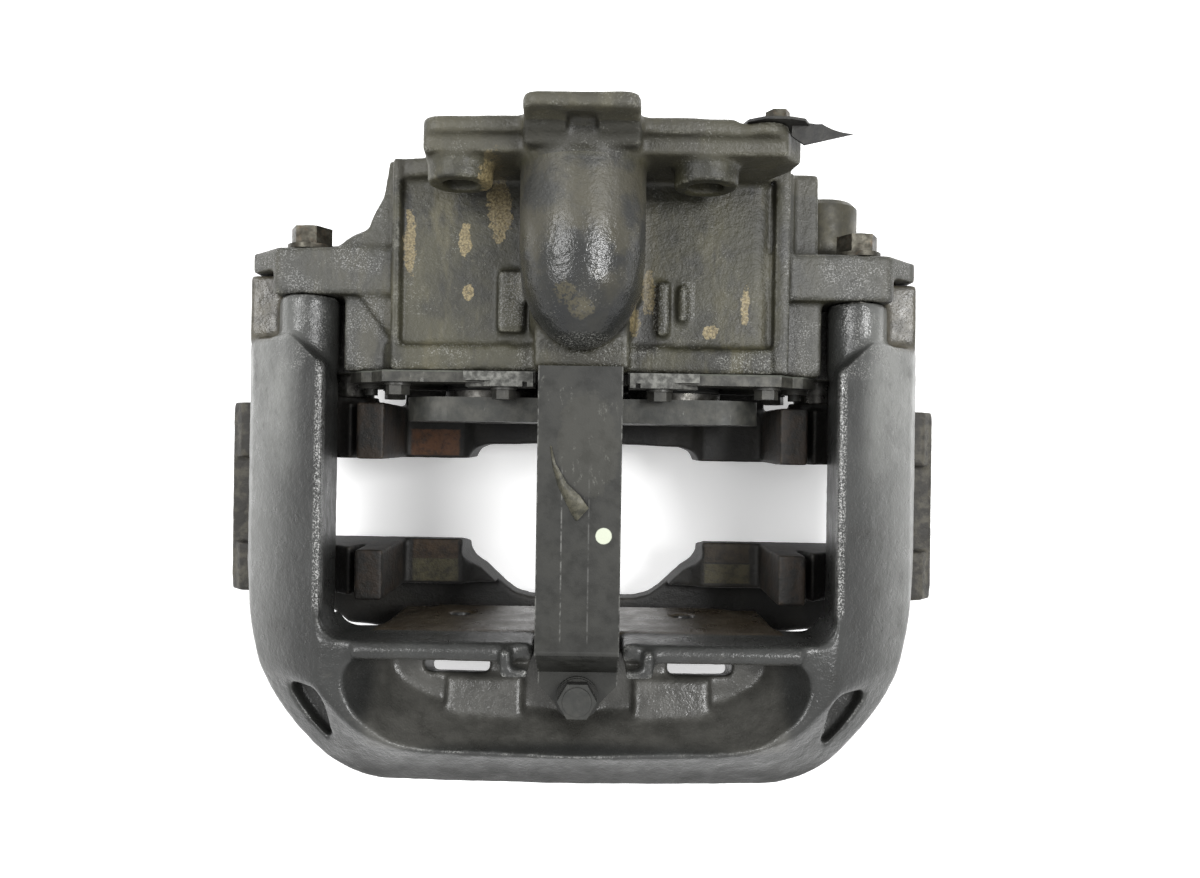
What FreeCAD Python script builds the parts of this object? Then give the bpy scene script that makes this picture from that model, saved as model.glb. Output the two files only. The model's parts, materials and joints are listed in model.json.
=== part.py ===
import FreeCAD, Part
import math
import os
import re

import Sketcher

# Air disc brake caliper for a 22.5 inch truck wheel, in millimetres.
# X runs along the wheel's tangent, +Y is inboard (towards the brake chamber), +Z is radially
# outward. The wheel's axis is parallel to Y, below the part. Z = 0 is the carrier's lowest face.

document = FreeCAD.newDocument("brake_caliper")

DIMENSIONS = {
    # wheel
    "wheel_z": -55,
    # whole object
    "end_y": 171.5,
    # carrier
    "slot_in_y": 2.5,
    "slot_out_y": -48,
    "frame_in_y": 34,
    "frame_out_y": -79,
    "tie_in_x": 186,
    "tie_out_x": 206.5,
    "tie_low_z": 70,
    "tie_top_z": 106,
    "horn_in_x": 110,
    "horn_out_x": 126,
    "horn_top_z": 130,
    "rail_in_x": 74,
    "rail_z": 73,
    "hub_arch": 112,
    "mount_hole": 8,
    # guide pins
    "pin_x": 138,
    "pin_z": 95,
    "sleeve_seat_y": 38,
    "sleeve_r": 13,
    "sleeve_end_y": 108,
    "short_sleeve_end_y": 96,
    "bush_r": 17,
    # bridge
    "arm_in_x": 131,
    "arm_out_x": 184,
    "arm_rim_x": 188,
    "arm_top_radius": 263,
    "arm_low_radius": 222,
    "joint_y": 90,
    "wall_y": -88,
    "rest_y": -87,
    "rest_x": 109,
    "wall_back_y": -111,
    "wall_low_z": 60,
    "wall_top_z": 172,
    "rim_z": 143,
    "lug_in_x": 166,
    "lug_top_z": 134,
    "lug_end_y": 103,
    "bolt_high_x": 148,
    "bolt_high_z": 140,
    "bolt_low_x": 168,
    "bolt_low_z": 70,
    "bolt_r": 7,
    "ear_y": 115,
    # housing
    "block_x": 103,
    "cover_x": 126,
    "housing_y": 50,
    "back_y": 146,
    "block_low_z": 74,
    "block_top_z": 157,
    "cavity_x": 92,
    "cavity_low_z": 84,
    "cavity_top_z": 147,
    "cavity_y": 136,
    "chamber_z": 185,
    "dome_r": 31,
    "dome_tip_y": 59,
    "flange_y": 150,
    "flange_end_y": 166,
    "leaf_seat_y": 164,
    "foot_end_y": 160,
    "stud_x": 60.325,
    "stud_hole": 8.5,
    "port_r": 24,
    # mechanism
    "tappet_x": 52,
    "tappet_z": 115,
    "pivot_y": 118,
    "pivot_z": 110,
    "journal_r": 15,
    "journal_in_x": 18,
    "journal_out_x": 36,
    "spindle_r": 14,
    "clutch_r": 10,
    "gear_module": 2,
    "gear_teeth": 28,
    "idler_teeth": 24,
    "gear_y": 72,
    "gear_width": 9,
    "cover_y": 44,
    "cover_low_z": 79,
    "head_r": 27,
    "plate_front_y": 24,
    "plate_back_y": 37,
    "plate_x": 98,
    # pad retainer
    "seat_y": 51.5,
    "strap_half": 21,
    "strap_z": 180,
    "strap_thick": 2.5,
    "strap_bolt_x": 0,
    "strap_bolt_y": -121,
}

sheet = document.addObject("Spreadsheet::Sheet", "Dims")
for row, (alias, value) in enumerate(DIMENSIONS.items(), start=1):
    sheet.set(f"A{row}", str(value))
    sheet.setAlias(f"A{row}", alias)
document.recompute()


def ref(size):
    """Writes a size as an expression of the sheet: the aliases in it become references."""
    return re.sub(
        r"[a-z][a-z_]+\b(?!\()",
        lambda word: "Dims." + word.group() if word.group() in DIMENSIONS else word.group(),
        str(size),
    )


def number(size):
    """The size's value now, in millimetres."""
    value = sheet.evalExpression(ref(size))
    return float(getattr(value, "Value", value))


def bind(obj, **sizes):
    """Binds properties of an object to expressions of the sheet."""
    for name, size in sizes.items():
        obj.setExpression(name.replace("__", "."), ref(size))
    return obj


def place(obj, x=0, y=0, z=0, axis=(0, 0, 1), angle=0):
    """Turns an object about its own origin and binds its place to the sheet."""
    obj.Placement = FreeCAD.Placement(
        FreeCAD.Vector(), FreeCAD.Rotation(FreeCAD.Vector(*axis), angle)
    )
    return bind(obj, Placement__Base__x=x, Placement__Base__y=y, Placement__Base__z=z)


def box(x_range, y_range, z_range):
    """A box between two values of each coordinate."""
    solid = document.addObject("Part::Box", "box")
    place(solid, x_range[0], y_range[0], z_range[0])
    return bind(
        solid,
        Length=f"({x_range[1]}) - ({x_range[0]})",
        Width=f"({y_range[1]}) - ({y_range[0]})",
        Height=f"({z_range[1]}) - ({z_range[0]})",
    )


# For each axis: the turn that brings a primitive's own Z onto it.
TURNS = {"x": ((0, 1, 0), 90), "y": ((1, 0, 0), -90), "z": ((0, 0, 1), 0)}


def along(axis, start, across):
    """The place of something that starts at one value of its axis, centred on the other two."""
    spots = {"x": (start, *across), "y": (across[0], start, across[1]), "z": (*across, start)}
    return spots[axis]


def cylinder(axis, across, span, radius):
    """A cylinder along an axis, centred on the two other coordinates."""
    solid = document.addObject("Part::Cylinder", "cylinder")
    place(solid, *along(axis, span[0], across), *TURNS[axis])
    return bind(solid, Radius=radius, Height=f"({span[1]}) - ({span[0]})")


def cone(axis, across, span, radii):
    """A cone along an axis, with the radius at each end of its span."""
    solid = document.addObject("Part::Cone", "cone")
    place(solid, *along(axis, span[0], across), *TURNS[axis])
    return bind(solid, Radius1=radii[0], Radius2=radii[1], Height=f"({span[1]}) - ({span[0]})")


def ring(axis, across, span, outer, inner):
    """A tube along an axis."""
    longer = (f"({span[0]}) - 1", f"({span[1]}) + 1")
    return cut(cylinder(axis, across, span, outer), cylinder(axis, across, longer, inner))


def hexagon(axis, across, span, flats):
    """A hexagonal prism along an axis, with its width across flats."""
    solid = document.addObject("Part::Prism", "hexagon")
    place(solid, *along(axis, span[0], across), *TURNS[axis])
    return bind(solid, Circumradius=f"({flats}) / sqrt(3)", Height=f"({span[1]}) - ({span[0]})")


def torus(axis, across, middle, radius, thickness):
    """A ring of round section about an axis."""
    solid = document.addObject("Part::Torus", "torus")
    place(solid, *along(axis, middle, across), *TURNS[axis])
    return bind(solid, Radius1=radius, Radius2=thickness)


def fuse(*solids):
    """One solid from several that overlap or share faces."""
    joined = document.addObject("Part::MultiFuse", "fuse")
    joined.Shapes = list(solids)
    joined.Refine = True
    return joined


def cut(base, *tools):
    """The base with every tool taken out of it."""
    rest = document.addObject("Part::Cut", "cut")
    rest.Base = base
    rest.Tool = tools[0] if len(tools) == 1 else fuse(*tools)
    rest.Refine = True
    return rest


def common(*solids):
    """What the solids share."""
    shared = document.addObject("Part::MultiCommon", "common")
    shared.Shapes = list(solids)
    return shared


def mirror(solid):
    """The solid's image on the other side of the plane X = 0."""
    image = document.addObject("Part::Mirroring", "mirror")
    image.Source = solid
    image.Normal = (1, 0, 0)
    return image


def both(make, *sizes):
    """A feature made at +X, and its mirror image."""
    solid = make(*sizes)
    return [solid, mirror(solid)]


def arc_edge(start, end, radius):
    """A minor arc between two points. A positive radius turns left on the way, a negative right."""
    chord = end - start
    half = chord.Length / 2
    left = FreeCAD.Vector(-chord.y, chord.x, 0).normalize()
    side = math.copysign(math.sqrt(radius * radius - half * half), radius)
    centre = (start + end) / 2 + left * side
    first, last = (start, end) if radius > 0 else (end, start)
    angles = [math.atan2(p.y - centre.y, p.x - centre.x) for p in (first, last)]
    circle = Part.Circle(centre, FreeCAD.Vector(0, 0, 1), abs(radius))
    return Part.ArcOfCircle(circle, *angles)


def outline(points):
    """A closed sketch through points. A point's third value is the radius of the arc up to it."""
    sketch = document.addObject("Sketcher::SketchObject", "outline")
    spots = [FreeCAD.Vector(number(p[0]), number(p[1]), 0) for p in points]
    ends = []
    for index, spot in enumerate(spots):
        target = (index + 1) % len(points)
        bend = number(points[target][2]) if len(points[target]) > 2 else 0
        if bend:
            edge = sketch.addGeometry(arc_edge(spot, spots[target], bend))
            ends.append((edge, 1, 2) if bend > 0 else (edge, 2, 1))
        else:
            ends.append((sketch.addGeometry(Part.LineSegment(spot, spots[target])), 1, 2))
    for index, (edge, first, _) in enumerate(ends):
        before, _, last = ends[index - 1]
        sketch.addConstraint(Sketcher.Constraint("Coincident", before, last, edge, first))
    for index, (edge, first, last) in enumerate(ends):
        spot, point = spots[index], points[index]
        for kind, value, size in (("DistanceX", spot.x, point[0]), ("DistanceY", spot.y, point[1])):
            held = sketch.addConstraint(Sketcher.Constraint(kind, -1, 1, edge, first, value))
            sketch.setExpression(f"Constraints[{held}]", ref(size))
        target = points[(index + 1) % len(points)]
        if len(target) > 2:
            held = sketch.addConstraint(Sketcher.Constraint("Radius", edge, abs(number(target[2]))))
            sketch.setExpression(f"Constraints[{held}]", ref(f"abs({target[2]})"))
    return sketch


# For each axis: the turn that lays a sketch across it. Across Y the sketch holds X and Z.
SKETCH_TURNS = {"x": ((1, 1, 1), 120), "y": ((1, 0, 0), 90), "z": ((0, 0, 1), 0)}


def prism(axis, points, span):
    """An outline pulled along an axis. It is drawn in Y, Z across X, and in X, Z across Y."""
    sketch = outline(points)
    start = span[1] if axis == "y" else span[0]
    place(sketch, *along(axis, start, (0, 0)), *SKETCH_TURNS[axis])
    solid = document.addObject("Part::Extrusion", "prism")
    solid.Base = sketch
    solid.DirMode = "Normal"
    solid.Solid = True
    return bind(solid, LengthFwd=f"({span[1]}) - ({span[0]})")


def loft(levels):
    """A solid through outlines of X and Y, each at its own height."""
    solid = document.addObject("Part::Loft", "loft")
    solid.Sections = [place(outline(points), 0, 0, z) for z, points in levels]
    solid.Solid = True
    solid.Ruled = True
    return solid


def mirrored_points(half):
    """A whole outline from its right half's points. Those at X = "0" are on the middle line."""
    left = []
    for index in range(len(half) - 1, -1, -1):
        x, z = half[index][:2]
        bend = half[index + 1][2:] if index + 1 < len(half) else ()
        if x != "0":
            left.append((f"-({x})", z, *bend))
    return list(half) + left


parts = []


def name_part(name, solid):
    """Names the finished sub-part. Its file takes the same name."""
    solid.Label = name
    parts.append(solid)
    return solid


def group(*solids):
    """Separate solids that share one node."""
    compound = document.addObject("Part::Compound", "group")
    compound.Links = list(solids)
    return compound


def arc_z(x, radius):
    """The height of a cylinder about the wheel's axis at a distance x."""
    return f"wheel_z + sqrt(({radius})^2 - ({x})^2)"


# ---------------------------------------------------------------- carrier


def carrier_frame(y_range):
    """One side of the carrier: a plate under the pads, low enough for the bridge's arms."""
    arm_gap = "arm_low_radius - 5"
    half = [
        ("sqrt(hub_arch^2 - wheel_z^2)", "0"),
        ("160", "0"),
        ("190", "34"),
        ("tie_out_x", "tie_low_z"),
        ("tie_out_x", "tie_top_z - 8"),
        ("tie_out_x - 8", "tie_top_z"),
        ("tie_in_x", "tie_top_z"),
        ("tie_in_x", arc_z("tie_in_x", arm_gap)),
        ("horn_out_x + 6", arc_z("horn_out_x + 6", arm_gap), "arm_low_radius - 5"),
        ("horn_out_x", "rail_z + 24"),
        ("horn_out_x", "horn_top_z"),
        ("horn_in_x", "horn_top_z"),
        ("horn_in_x", "rail_z"),
        ("rail_in_x", "rail_z"),
        ("rail_in_x - 6", "rail_z - 6"),
        ("rail_in_x - 16", "rail_z - 8"),
    ]
    left = mirrored_points(half)[len(half):]
    # the arch over the hub closes the outline, back to where it starts
    return prism("y", [(*half[0], "-hub_arch")] + half[1:] + left, y_range)


# The inner side is set back from the disc between the rails.
inner_setback = prism(
    "z",
    mirrored_points(
        [
            ("0", "slot_in_y - 1"),
            ("rail_in_x - 3", "slot_in_y - 1"),
            ("rail_in_x - 3", "slot_in_y + 2"),
            ("rail_in_x - 6", "slot_in_y + 6"),
            ("rail_in_x - 13", "slot_in_y + 8.5"),
            ("0", "slot_in_y + 10.5"),
        ]
    ),
    ("-1", "rail_z + 1"),
)
# The outer side's face to the disc leans away from it towards the foot.
outer_slant = prism(
    "x",
    [("slot_out_y + 1", "63"), ("slot_out_y + 1", "-1"), ("slot_out_y - 9", "-1"), ("slot_out_y", "63")],
    ("-tie_out_x - 1", "tie_out_x + 1"),
)
inner_frame = cut(carrier_frame(("slot_in_y", "frame_in_y")), inner_setback)
outer_frame = cut(carrier_frame(("frame_out_y + 3", "slot_out_y")), outer_slant)
ties = both(
    box,
    ("tie_in_x", "tie_out_x"),
    ("frame_out_y + 10", "frame_in_y - 4"),
    ("tie_low_z + 4", "tie_top_z - 6"),
)
# The outer side is joined by a ledge, low enough to pass under the bridge. Between the rails
# its inner edge swings away from the disc in an S.
ledge = prism(
    "z",
    mirrored_points(
        [
            ("0", "frame_out_y - 29"),
            ("120", "frame_out_y - 29"),
            ("150", "frame_out_y - 26"),
            ("168", "frame_out_y - 12"),
            ("172", "slot_out_y - 14"),
            ("0", "slot_out_y - 14"),
        ]
    ),
    ("36", "wall_low_z - 7"),
)
outer_swing = prism(
    "z",
    mirrored_points(
        [
            ("0", "slot_out_y + 1"),
            ("rail_in_x", "slot_out_y + 1"),
            ("rail_in_x + 1", "slot_out_y - 9"),
            ("rail_in_x - 3", "slot_out_y - 14"),
            ("rail_in_x - 10", "slot_out_y - 18"),
            ("rail_in_x - 24", "slot_out_y - 31"),
            ("rail_in_x - 31", "slot_out_y - 36"),
            ("rail_in_x - 41", "slot_out_y - 38.5"),
            ("0", "slot_out_y - 39"),
        ]
    ),
    ("-1", "rail_z + 1"),
)
# A lip on the inner side reaches under the housing's cover.
inner_lip = box(("-112", "112"), ("frame_in_y - 1", "cover_y + 1.5"), ("58", "cover_low_z - 9"))
pin_bosses = both(
    cylinder, "y", ("pin_x", "pin_z"), ("slot_in_y + 4", "sleeve_seat_y"), "sleeve_r + 3"
)
pin_threads = both(cylinder, "y", ("pin_x", "pin_z"), ("slot_in_y - 1", "sleeve_seat_y + 1"), "8")
MOUNT_HOLES = [(122, 22), (150, 42), (168, 62)]
mount_bores = [
    bore
    for x, z in MOUNT_HOLES
    for bore in both(cylinder, "y", (x, z), ("slot_in_y - 1", "frame_in_y + 1"), "mount_hole")
]
# Scallops in the feet take weight out between the mounting holes.
foot_reliefs = both(
    cylinder, "y", ("136", "4"), ("frame_out_y - 1", "slot_out_y + 1"), "15"
)
name_part(
    "carrier",
    cut(
        fuse(inner_frame, outer_frame, *ties, ledge, inner_lip, *pin_bosses),
        outer_swing,
        *pin_threads,
        *mount_bores,
        *foot_reliefs,
    ),
)

# ---------------------------------------------------------------- guide pins

SLEEVE_ENDS = {"right": "sleeve_end_y", "left": "short_sleeve_end_y"}
for side, end in SLEEVE_ENDS.items():
    x = "pin_x" if side == "right" else "-pin_x"
    centre = (x, "pin_z")
    sleeve = ring("y", centre, ("sleeve_seat_y", end), "sleeve_r", "8.2")
    name_part(f"guide_sleeve_{side}", sleeve)
    bush = ring("y", centre, ("housing_y + 10", "ear_y - 8"), "bush_r", "sleeve_r + 0.05")
    name_part(f"guide_bush_{side}", bush)


def guide_bolt(x, head_y):
    """A socket screw through a sleeve, with its thread in the carrier."""
    centre = (x, "pin_z")
    shank = cylinder("y", centre, ("slot_in_y + 6", f"{head_y} + 1"), "8")
    head = cylinder("y", centre, (head_y, f"{head_y} + 12"), "12")
    socket = hexagon("y", centre, (f"{head_y} + 5", f"{head_y} + 13"), "14")
    return cut(fuse(shank, head), socket)


name_part(
    "guide_bolts",
    group(guide_bolt("pin_x", "sleeve_end_y"), guide_bolt("-pin_x", "short_sleeve_end_y")),
)
seals = [
    ring("y", (x, "pin_z"), ("housing_y + 2", "housing_y + 8"), "bush_r", "sleeve_r + 0.3")
    for x in ("pin_x", "-pin_x")
]
name_part("guide_seals", group(*seals))


def guide_cap(x, end_y):
    """A closed tube over the end of a guide pin, pressed on a spigot of the housing's ear."""
    centre = (x, "pin_z")
    shell = cylinder("y", centre, ("ear_y", f"{end_y} - 3"), "bush_r + 5")
    rounding = cone("y", centre, (f"{end_y} - 3", end_y), ("bush_r + 5", "bush_r + 2"))
    room = cylinder("y", centre, ("ear_y - 1", f"{end_y} - 2"), "bush_r + 2")
    return cut(fuse(shell, rounding), room)


name_part("guide_cap_right", guide_cap("pin_x", "ear_y + 40"))
name_part("guide_cap_left", guide_cap("-pin_x", "ear_y + 9"))

# ---------------------------------------------------------------- bridge


def arm_section(out_x, rim_x, y_range):
    """An arm of the bridge between two cylinders about the wheel's axis, wider above the tie."""
    points = [
        ("arm_in_x + 8", arc_z("arm_in_x + 8", "arm_low_radius")),
        (out_x, arc_z(out_x, "arm_low_radius"), "-arm_low_radius"),
        (out_x, "tie_top_z + 1.5"),
        (rim_x, "tie_top_z + 5"),
        (rim_x, arc_z(rim_x, "arm_top_radius - 5")),
        (f"{rim_x} - 7", arc_z(f"{rim_x} - 7", "arm_top_radius")),
        ("arm_in_x", arc_z("arm_in_x", "arm_top_radius"), "arm_top_radius"),
    ]
    return prism("y", points, y_range)


arms = both(arm_section, "arm_out_x", "arm_rim_x", ("wall_y - 6", "joint_y - 22"))
arm_roots = both(
    box,
    ("arm_in_x + 5", "arm_out_x - 18"),
    ("joint_y - 30", "joint_y"),
    ("bolt_low_z - 13", "bolt_high_z"),
)
columns = both(
    cylinder, "y", ("bolt_high_x", "bolt_high_z"), ("joint_y - 40", "joint_y"), "bolt_r + 8"
)
# The arms end in a slant towards their columns.
arm_end_cuts = both(
    prism,
    "z",
    [
        ("arm_in_x - 1", "joint_y - 40"),
        ("arm_in_x + 22", "joint_y - 21"),
        ("arm_in_x - 1", "joint_y - 21"),
    ],
    ("bolt_high_z", "201"),
)
lugs = both(
    box,
    ("lug_in_x - 6", "arm_out_x"),
    ("joint_y - 24", "joint_y"),
    ("bolt_low_z - 13", "lug_top_z"),
)
# A step on each lug reaches past the joint, in a notch of the housing's ear.
lug_steps = both(
    box, ("lug_in_x", "arm_out_x"), ("joint_y - 1", "lug_end_y"), ("96", "lug_top_z")
)

# The bridge's plan: upright up to its rim, and leaning in on all sides above it.
rim_levels = [
    (
        "rim_z",
        [
            ("0", "-end_y"),
            ("96", "1.5 - end_y"),
            ("125", "8 - end_y", "60"),
            ("146", "24 - end_y", "60"),
            ("166", "wall_y - 34", "150"),
            ("181", "wall_y + 4", "150"),
            ("arm_rim_x", "wall_y + 34", "150"),
            ("arm_rim_x", "joint_y"),
            ("0", "joint_y"),
        ],
    ),
    (
        "rim_z + 20",
        [
            ("0", "20 - end_y"),
            ("86", "21 - end_y"),
            ("107", "25 - end_y", "45"),
            ("126", "38 - end_y", "45"),
            ("145", "wall_y - 23", "130"),
            ("160", "wall_y + 10", "130"),
            ("arm_out_x - 20", "wall_y + 34", "130"),
            ("arm_out_x - 20", "joint_y"),
            ("0", "joint_y"),
        ],
    ),
    (
        "rim_z + 40",
        [
            ("0", "38 - end_y"),
            ("78", "39 - end_y"),
            ("95", "42.5 - end_y", "35"),
            ("112", "53 - end_y", "35"),
            ("129", "wall_y - 11", "110"),
            ("143", "wall_y + 16", "110"),
            ("arm_out_x - 38", "wall_y + 36", "110"),
            ("arm_out_x - 38", "joint_y"),
            ("0", "joint_y"),
        ],
    ),
]
rim_levels = [(z, mirrored_points(half)) for z, half in rim_levels]
plan = fuse(prism("z", rim_levels[0][1], ("wall_low_z", "rim_z")), loft(rim_levels))
wall_outline = [
    ("0", "wall_low_z"),
    ("150", "wall_low_z"),
    ("arm_out_x", arc_z("arm_out_x", "arm_low_radius")),
    ("arm_out_x", arc_z("arm_out_x", "arm_top_radius - 5")),
    ("arm_out_x - 7", arc_z("arm_out_x - 7", "arm_top_radius")),
    ("arm_in_x", arc_z("arm_in_x", "arm_top_radius"), "arm_top_radius"),
    ("118", "wall_top_z + 1"),
    ("0", "wall_top_z + 3"),
]
wall_section = prism("y", mirrored_points(wall_outline), ("-end_y", "wall_back_y"))
front_outline = [
    ("0", "rail_z + 5"),
    ("horn_in_x - 1.5", "rail_z + 5"),
    ("horn_in_x - 1.5", "horn_top_z + 4"),
    ("arm_in_x", "horn_top_z + 4"),
    ("arm_in_x + 8", arc_z("arm_in_x + 8", "arm_low_radius")),
    ("arm_out_x", arc_z("arm_out_x", "arm_low_radius"), "-arm_low_radius"),
    ("arm_out_x", arc_z("arm_out_x", "arm_top_radius - 5")),
    ("arm_out_x - 7", arc_z("arm_out_x - 7", "arm_top_radius")),
    ("arm_in_x", arc_z("arm_in_x", "arm_top_radius"), "arm_top_radius"),
    ("118", "wall_top_z + 1"),
    ("0", "wall_top_z + 3"),
]
front_section = prism(
    "y", mirrored_points(front_outline), ("wall_back_y - 1", "wall_y")
)
# The pads' rest face stands a little proud of the wall, with an arched lower edge.
rest_face = prism(
    "y",
    mirrored_points(
        [
            ("0", "rail_z + 7"),
            ("60", "rail_z + 5"),
            ("rest_x - 22", "rail_z + 6"),
            ("rest_x - 2", "horn_top_z"),
            ("rest_x - 2", "150"),
            ("0", "150"),
        ]
    ),
    ("wall_y - 1", "rest_y"),
)
# The bridge is hollowed round the housing's guide bosses.
guide_rooms = both(
    cylinder, "y", ("pin_x", "pin_z"), ("housing_y - 2", "joint_y + 1"), "bush_r + 9"
)
# The window's corners at the wall are rounded by webs to the arms.
corner_webs = both(
    prism,
    "z",
    [
        ("arm_in_x + 1", "wall_y - 1"),
        ("arm_in_x + 1", "wall_y + 14"),
        ("arm_in_x - 14", "wall_y - 1", "-15"),
    ],
    ("horn_top_z + 6", "wall_top_z"),
)
# Large oval recess behind the rib, narrower towards its floor.
RECESS_FLOOR_Z = 134
recess_levels = [
    (z, mirrored_points([("0", low), (side, f"{low} + 3"), *corners, ("0", back)]))
    for z, low, side, corners, back in (
        (
            RECESS_FLOOR_Z,
            "-134",
            "58",
            [("90", "-122", "60"), ("102", "-110", "22"), ("96", "-100", "10")],
            "-100",
        ),
        (
            RECESS_FLOOR_Z + 26,
            "-146",
            "66",
            [("101", "-130", "60"), ("115", "-112", "28"), ("108", "-98", "12")],
            "-98",
        ),
        (
            RECESS_FLOOR_Z + 50,
            "-153",
            "70",
            [("108", "-134", "60"), ("122", "-112", "30"), ("113", "-96", "14")],
            "-96",
        ),
    )
]
recess = loft(recess_levels)
raised_pads = both(
    prism,
    "x",
    [("-139", "129"), ("-115", "129"), ("-115", "138"), ("-137", "143")],
    ("30", "72"),
)
retainer_boss = cylinder(
    "z", ("strap_bolt_x", "strap_bolt_y"), ("129", "150"), "13"
)
retainer_tap = cylinder(
    "z", ("strap_bolt_x", "strap_bolt_y"), ("124", "160"), "5"
)
# Slots through the recess's floor lean outwards.
slots = both(
    prism,
    "x",
    [("-104", "138"), ("-112.5", "138"), ("-131.5", "wall_low_z - 1"), ("-123", "wall_low_z - 1")],
    ("49", "85"),
)
strap_gap = box(
    ("-strap_half - 1.5", "strap_half + 1.5"), ("strap_bolt_y - 15", "wall_y + 1"), ("150", "201")
)
# Two drilled holes through the rest face, left of and right of the middle.
rest_holes = [
    cylinder("y", (x, "104"), ("wall_back_y - 8", "rest_y + 1"), "5.5") for x in ("-70", "60")
]
teardrops = both(
    prism,
    "z",
    [
        ("131.5", "-143.5"),
        ("142", "-132", "60"),
        ("150.5", "-118", "60"),
        ("147.5", "-114", "4"),
        ("135.5", "-114"),
        ("130", "-121", "8"),
        ("128.5", "-141"),
    ],
    ("145", "201"),
)
# A rounded rib stands along the window's edge. It ends in a hook beside the retainer strap.
ribs = both(cylinder, "x", ("-93", "wall_top_z"), ("strap_half + 16", "114"), "5")
hooks = [
    hook
    for side in (1, -1)
    for hook in [
        cut(
            box((f"{31.5 * side} - 7", f"{31.5 * side} + 7"), ("-104", "-90"), ("164", "181")),
            box((f"{27 * side} - 6", f"{27 * side} + 6"), ("-100", "-87"), ("170", "182")),
        )
    ]
]
under_hollow = box(("-120", "120"), ("-158", "wall_back_y - 7"), ("wall_low_z - 1", "104"))
bridge_bores = [
    cylinder("y", (f"{sign}{x}", z), ("joint_y - 36", "joint_y + 1"), "bolt_r")
    for sign in ("", "-")
    for x, z in (("bolt_high_x", "bolt_high_z"), ("bolt_low_x", "bolt_low_z"))
]
dowel_rooms = [
    cylinder("y", (x, "bolt_high_z"), ("joint_y - 6", "joint_y + 1"), "bolt_r + 2.5")
    for x in ("bolt_high_x", "-bolt_high_x")
]
wall_and_arms = common(plan, fuse(wall_section, front_section, *arms))
name_part(
    "bridge",
    cut(
        fuse(
            cut(
                fuse(cut(wall_and_arms, *arm_end_cuts), *arm_roots, *columns, *lugs, *corner_webs),
                *guide_rooms,
                recess,
                under_hollow,
                strap_gap,
                *teardrops,
            ),
            rest_face,
            *raised_pads,
            *ribs,
            *lug_steps,
            retainer_boss,
            *hooks,
        ),
        retainer_tap,
        *slots,
        *rest_holes,
        *bridge_bores,
        *dowel_rooms,
    ),
)


def bridge_bolt(x, z):
    """A flanged hexagon bolt from the inboard side of an ear into the bridge."""
    shank = cylinder("y", (x, z), ("joint_y - 34", "ear_y + 1"), "bolt_r")
    collar = cylinder("y", (x, z), ("ear_y", "ear_y + 2.5"), "12.5")
    head = hexagon("y", (x, z), ("ear_y + 2", "ear_y + 12"), "19")
    crown = cone("y", (x, z), ("ear_y + 12", "ear_y + 13"), ("9", "6.5"))
    return fuse(shank, collar, head, crown)


name_part(
    "bridge_bolts",
    group(
        *(
            bridge_bolt(f"{sign}{x}", z)
            for sign in ("", "-")
            for x, z in (("bolt_high_x", "bolt_high_z"), ("bolt_low_x", "bolt_low_z"))
        )
    ),
)
dowels = [
    ring("y", (x, "bolt_high_z"), ("joint_y - 5", "joint_y + 5"), "bolt_r + 2.5", "bolt_r + 0.3")
    for x in ("bolt_high_x", "-bolt_high_x")
]
name_part("bridge_dowels", group(*dowels))

# ---------------------------------------------------------------- housing

block = prism(
    "y",
    mirrored_points(
        [
            ("0", "block_low_z"),
            ("block_x - 8", "block_low_z"),
            ("block_x", "block_low_z + 8"),
            ("block_x", "block_top_z - 12"),
            ("block_x - 12", "block_top_z", "14"),
            ("0", "block_top_z + 3"),
        ]
    ),
    ("housing_y", "flange_y + 1"),
)
front_flange = box(("-cover_x", "cover_x"), ("housing_y", "housing_y + 12"), ("78", "148"))
# Raised edges frame the roof at its front and sides.
front_ledge = box(("-99", "99"), ("housing_y", "housing_y + 13"), ("150", "block_top_z + 5"))
left_rim = box(("-100", "-95"), ("housing_y", "foot_end_y"), ("140", "block_top_z + 5"))
right_rim = box(("100", "108"), ("housing_y", "foot_end_y"), ("120", "block_top_z + 2"))
# Blocks over the guide pins fill the corners between the walls and the bridge's arms.
corner_blocks = both(
    box, ("block_x - 4", "arm_in_x - 3"), ("housing_y", "ear_y - 1"), ("pin_z", "148")
)
ears = both(
    prism,
    "y",
    [
        ("block_x - 12", "block_low_z + 10"),
        ("bolt_low_x - 6", "bolt_low_z - 15"),
        ("bolt_low_x + 12", "bolt_low_z - 15"),
        ("bolt_low_x + 14", "bolt_low_z"),
        ("bolt_low_x + 14", "134"),
        ("bolt_high_x + 14", "bolt_high_z + 13"),
        ("block_x - 12", "bolt_high_z + 15"),
    ],
    ("joint_y", "ear_y"),
)
ear_notches = both(
    box,
    ("lug_in_x - 0.5", "arm_out_x + 6"),
    ("joint_y - 1", "lug_end_y + 0.8"),
    ("95.5", "bolt_high_z + 20"),
)
pin_housings = both(
    cylinder, "y", ("pin_x", "pin_z"), ("housing_y", "ear_y"), "bush_r + 7"
)
pin_webs = both(box, ("block_x - 10", "pin_x"), ("housing_y", "ear_y - 1"), ("82", "112"))
pin_rooms = both(cylinder, "y", ("pin_x", "pin_z"), ("housing_y - 1", "ear_y + 1"), "bush_r")
# Spigots that the guide caps sit on.
cap_spigots = both(
    ring, "y", ("pin_x", "pin_z"), ("ear_y - 2", "ear_y + 6"), "bush_r + 2", "bush_r"
)
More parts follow.
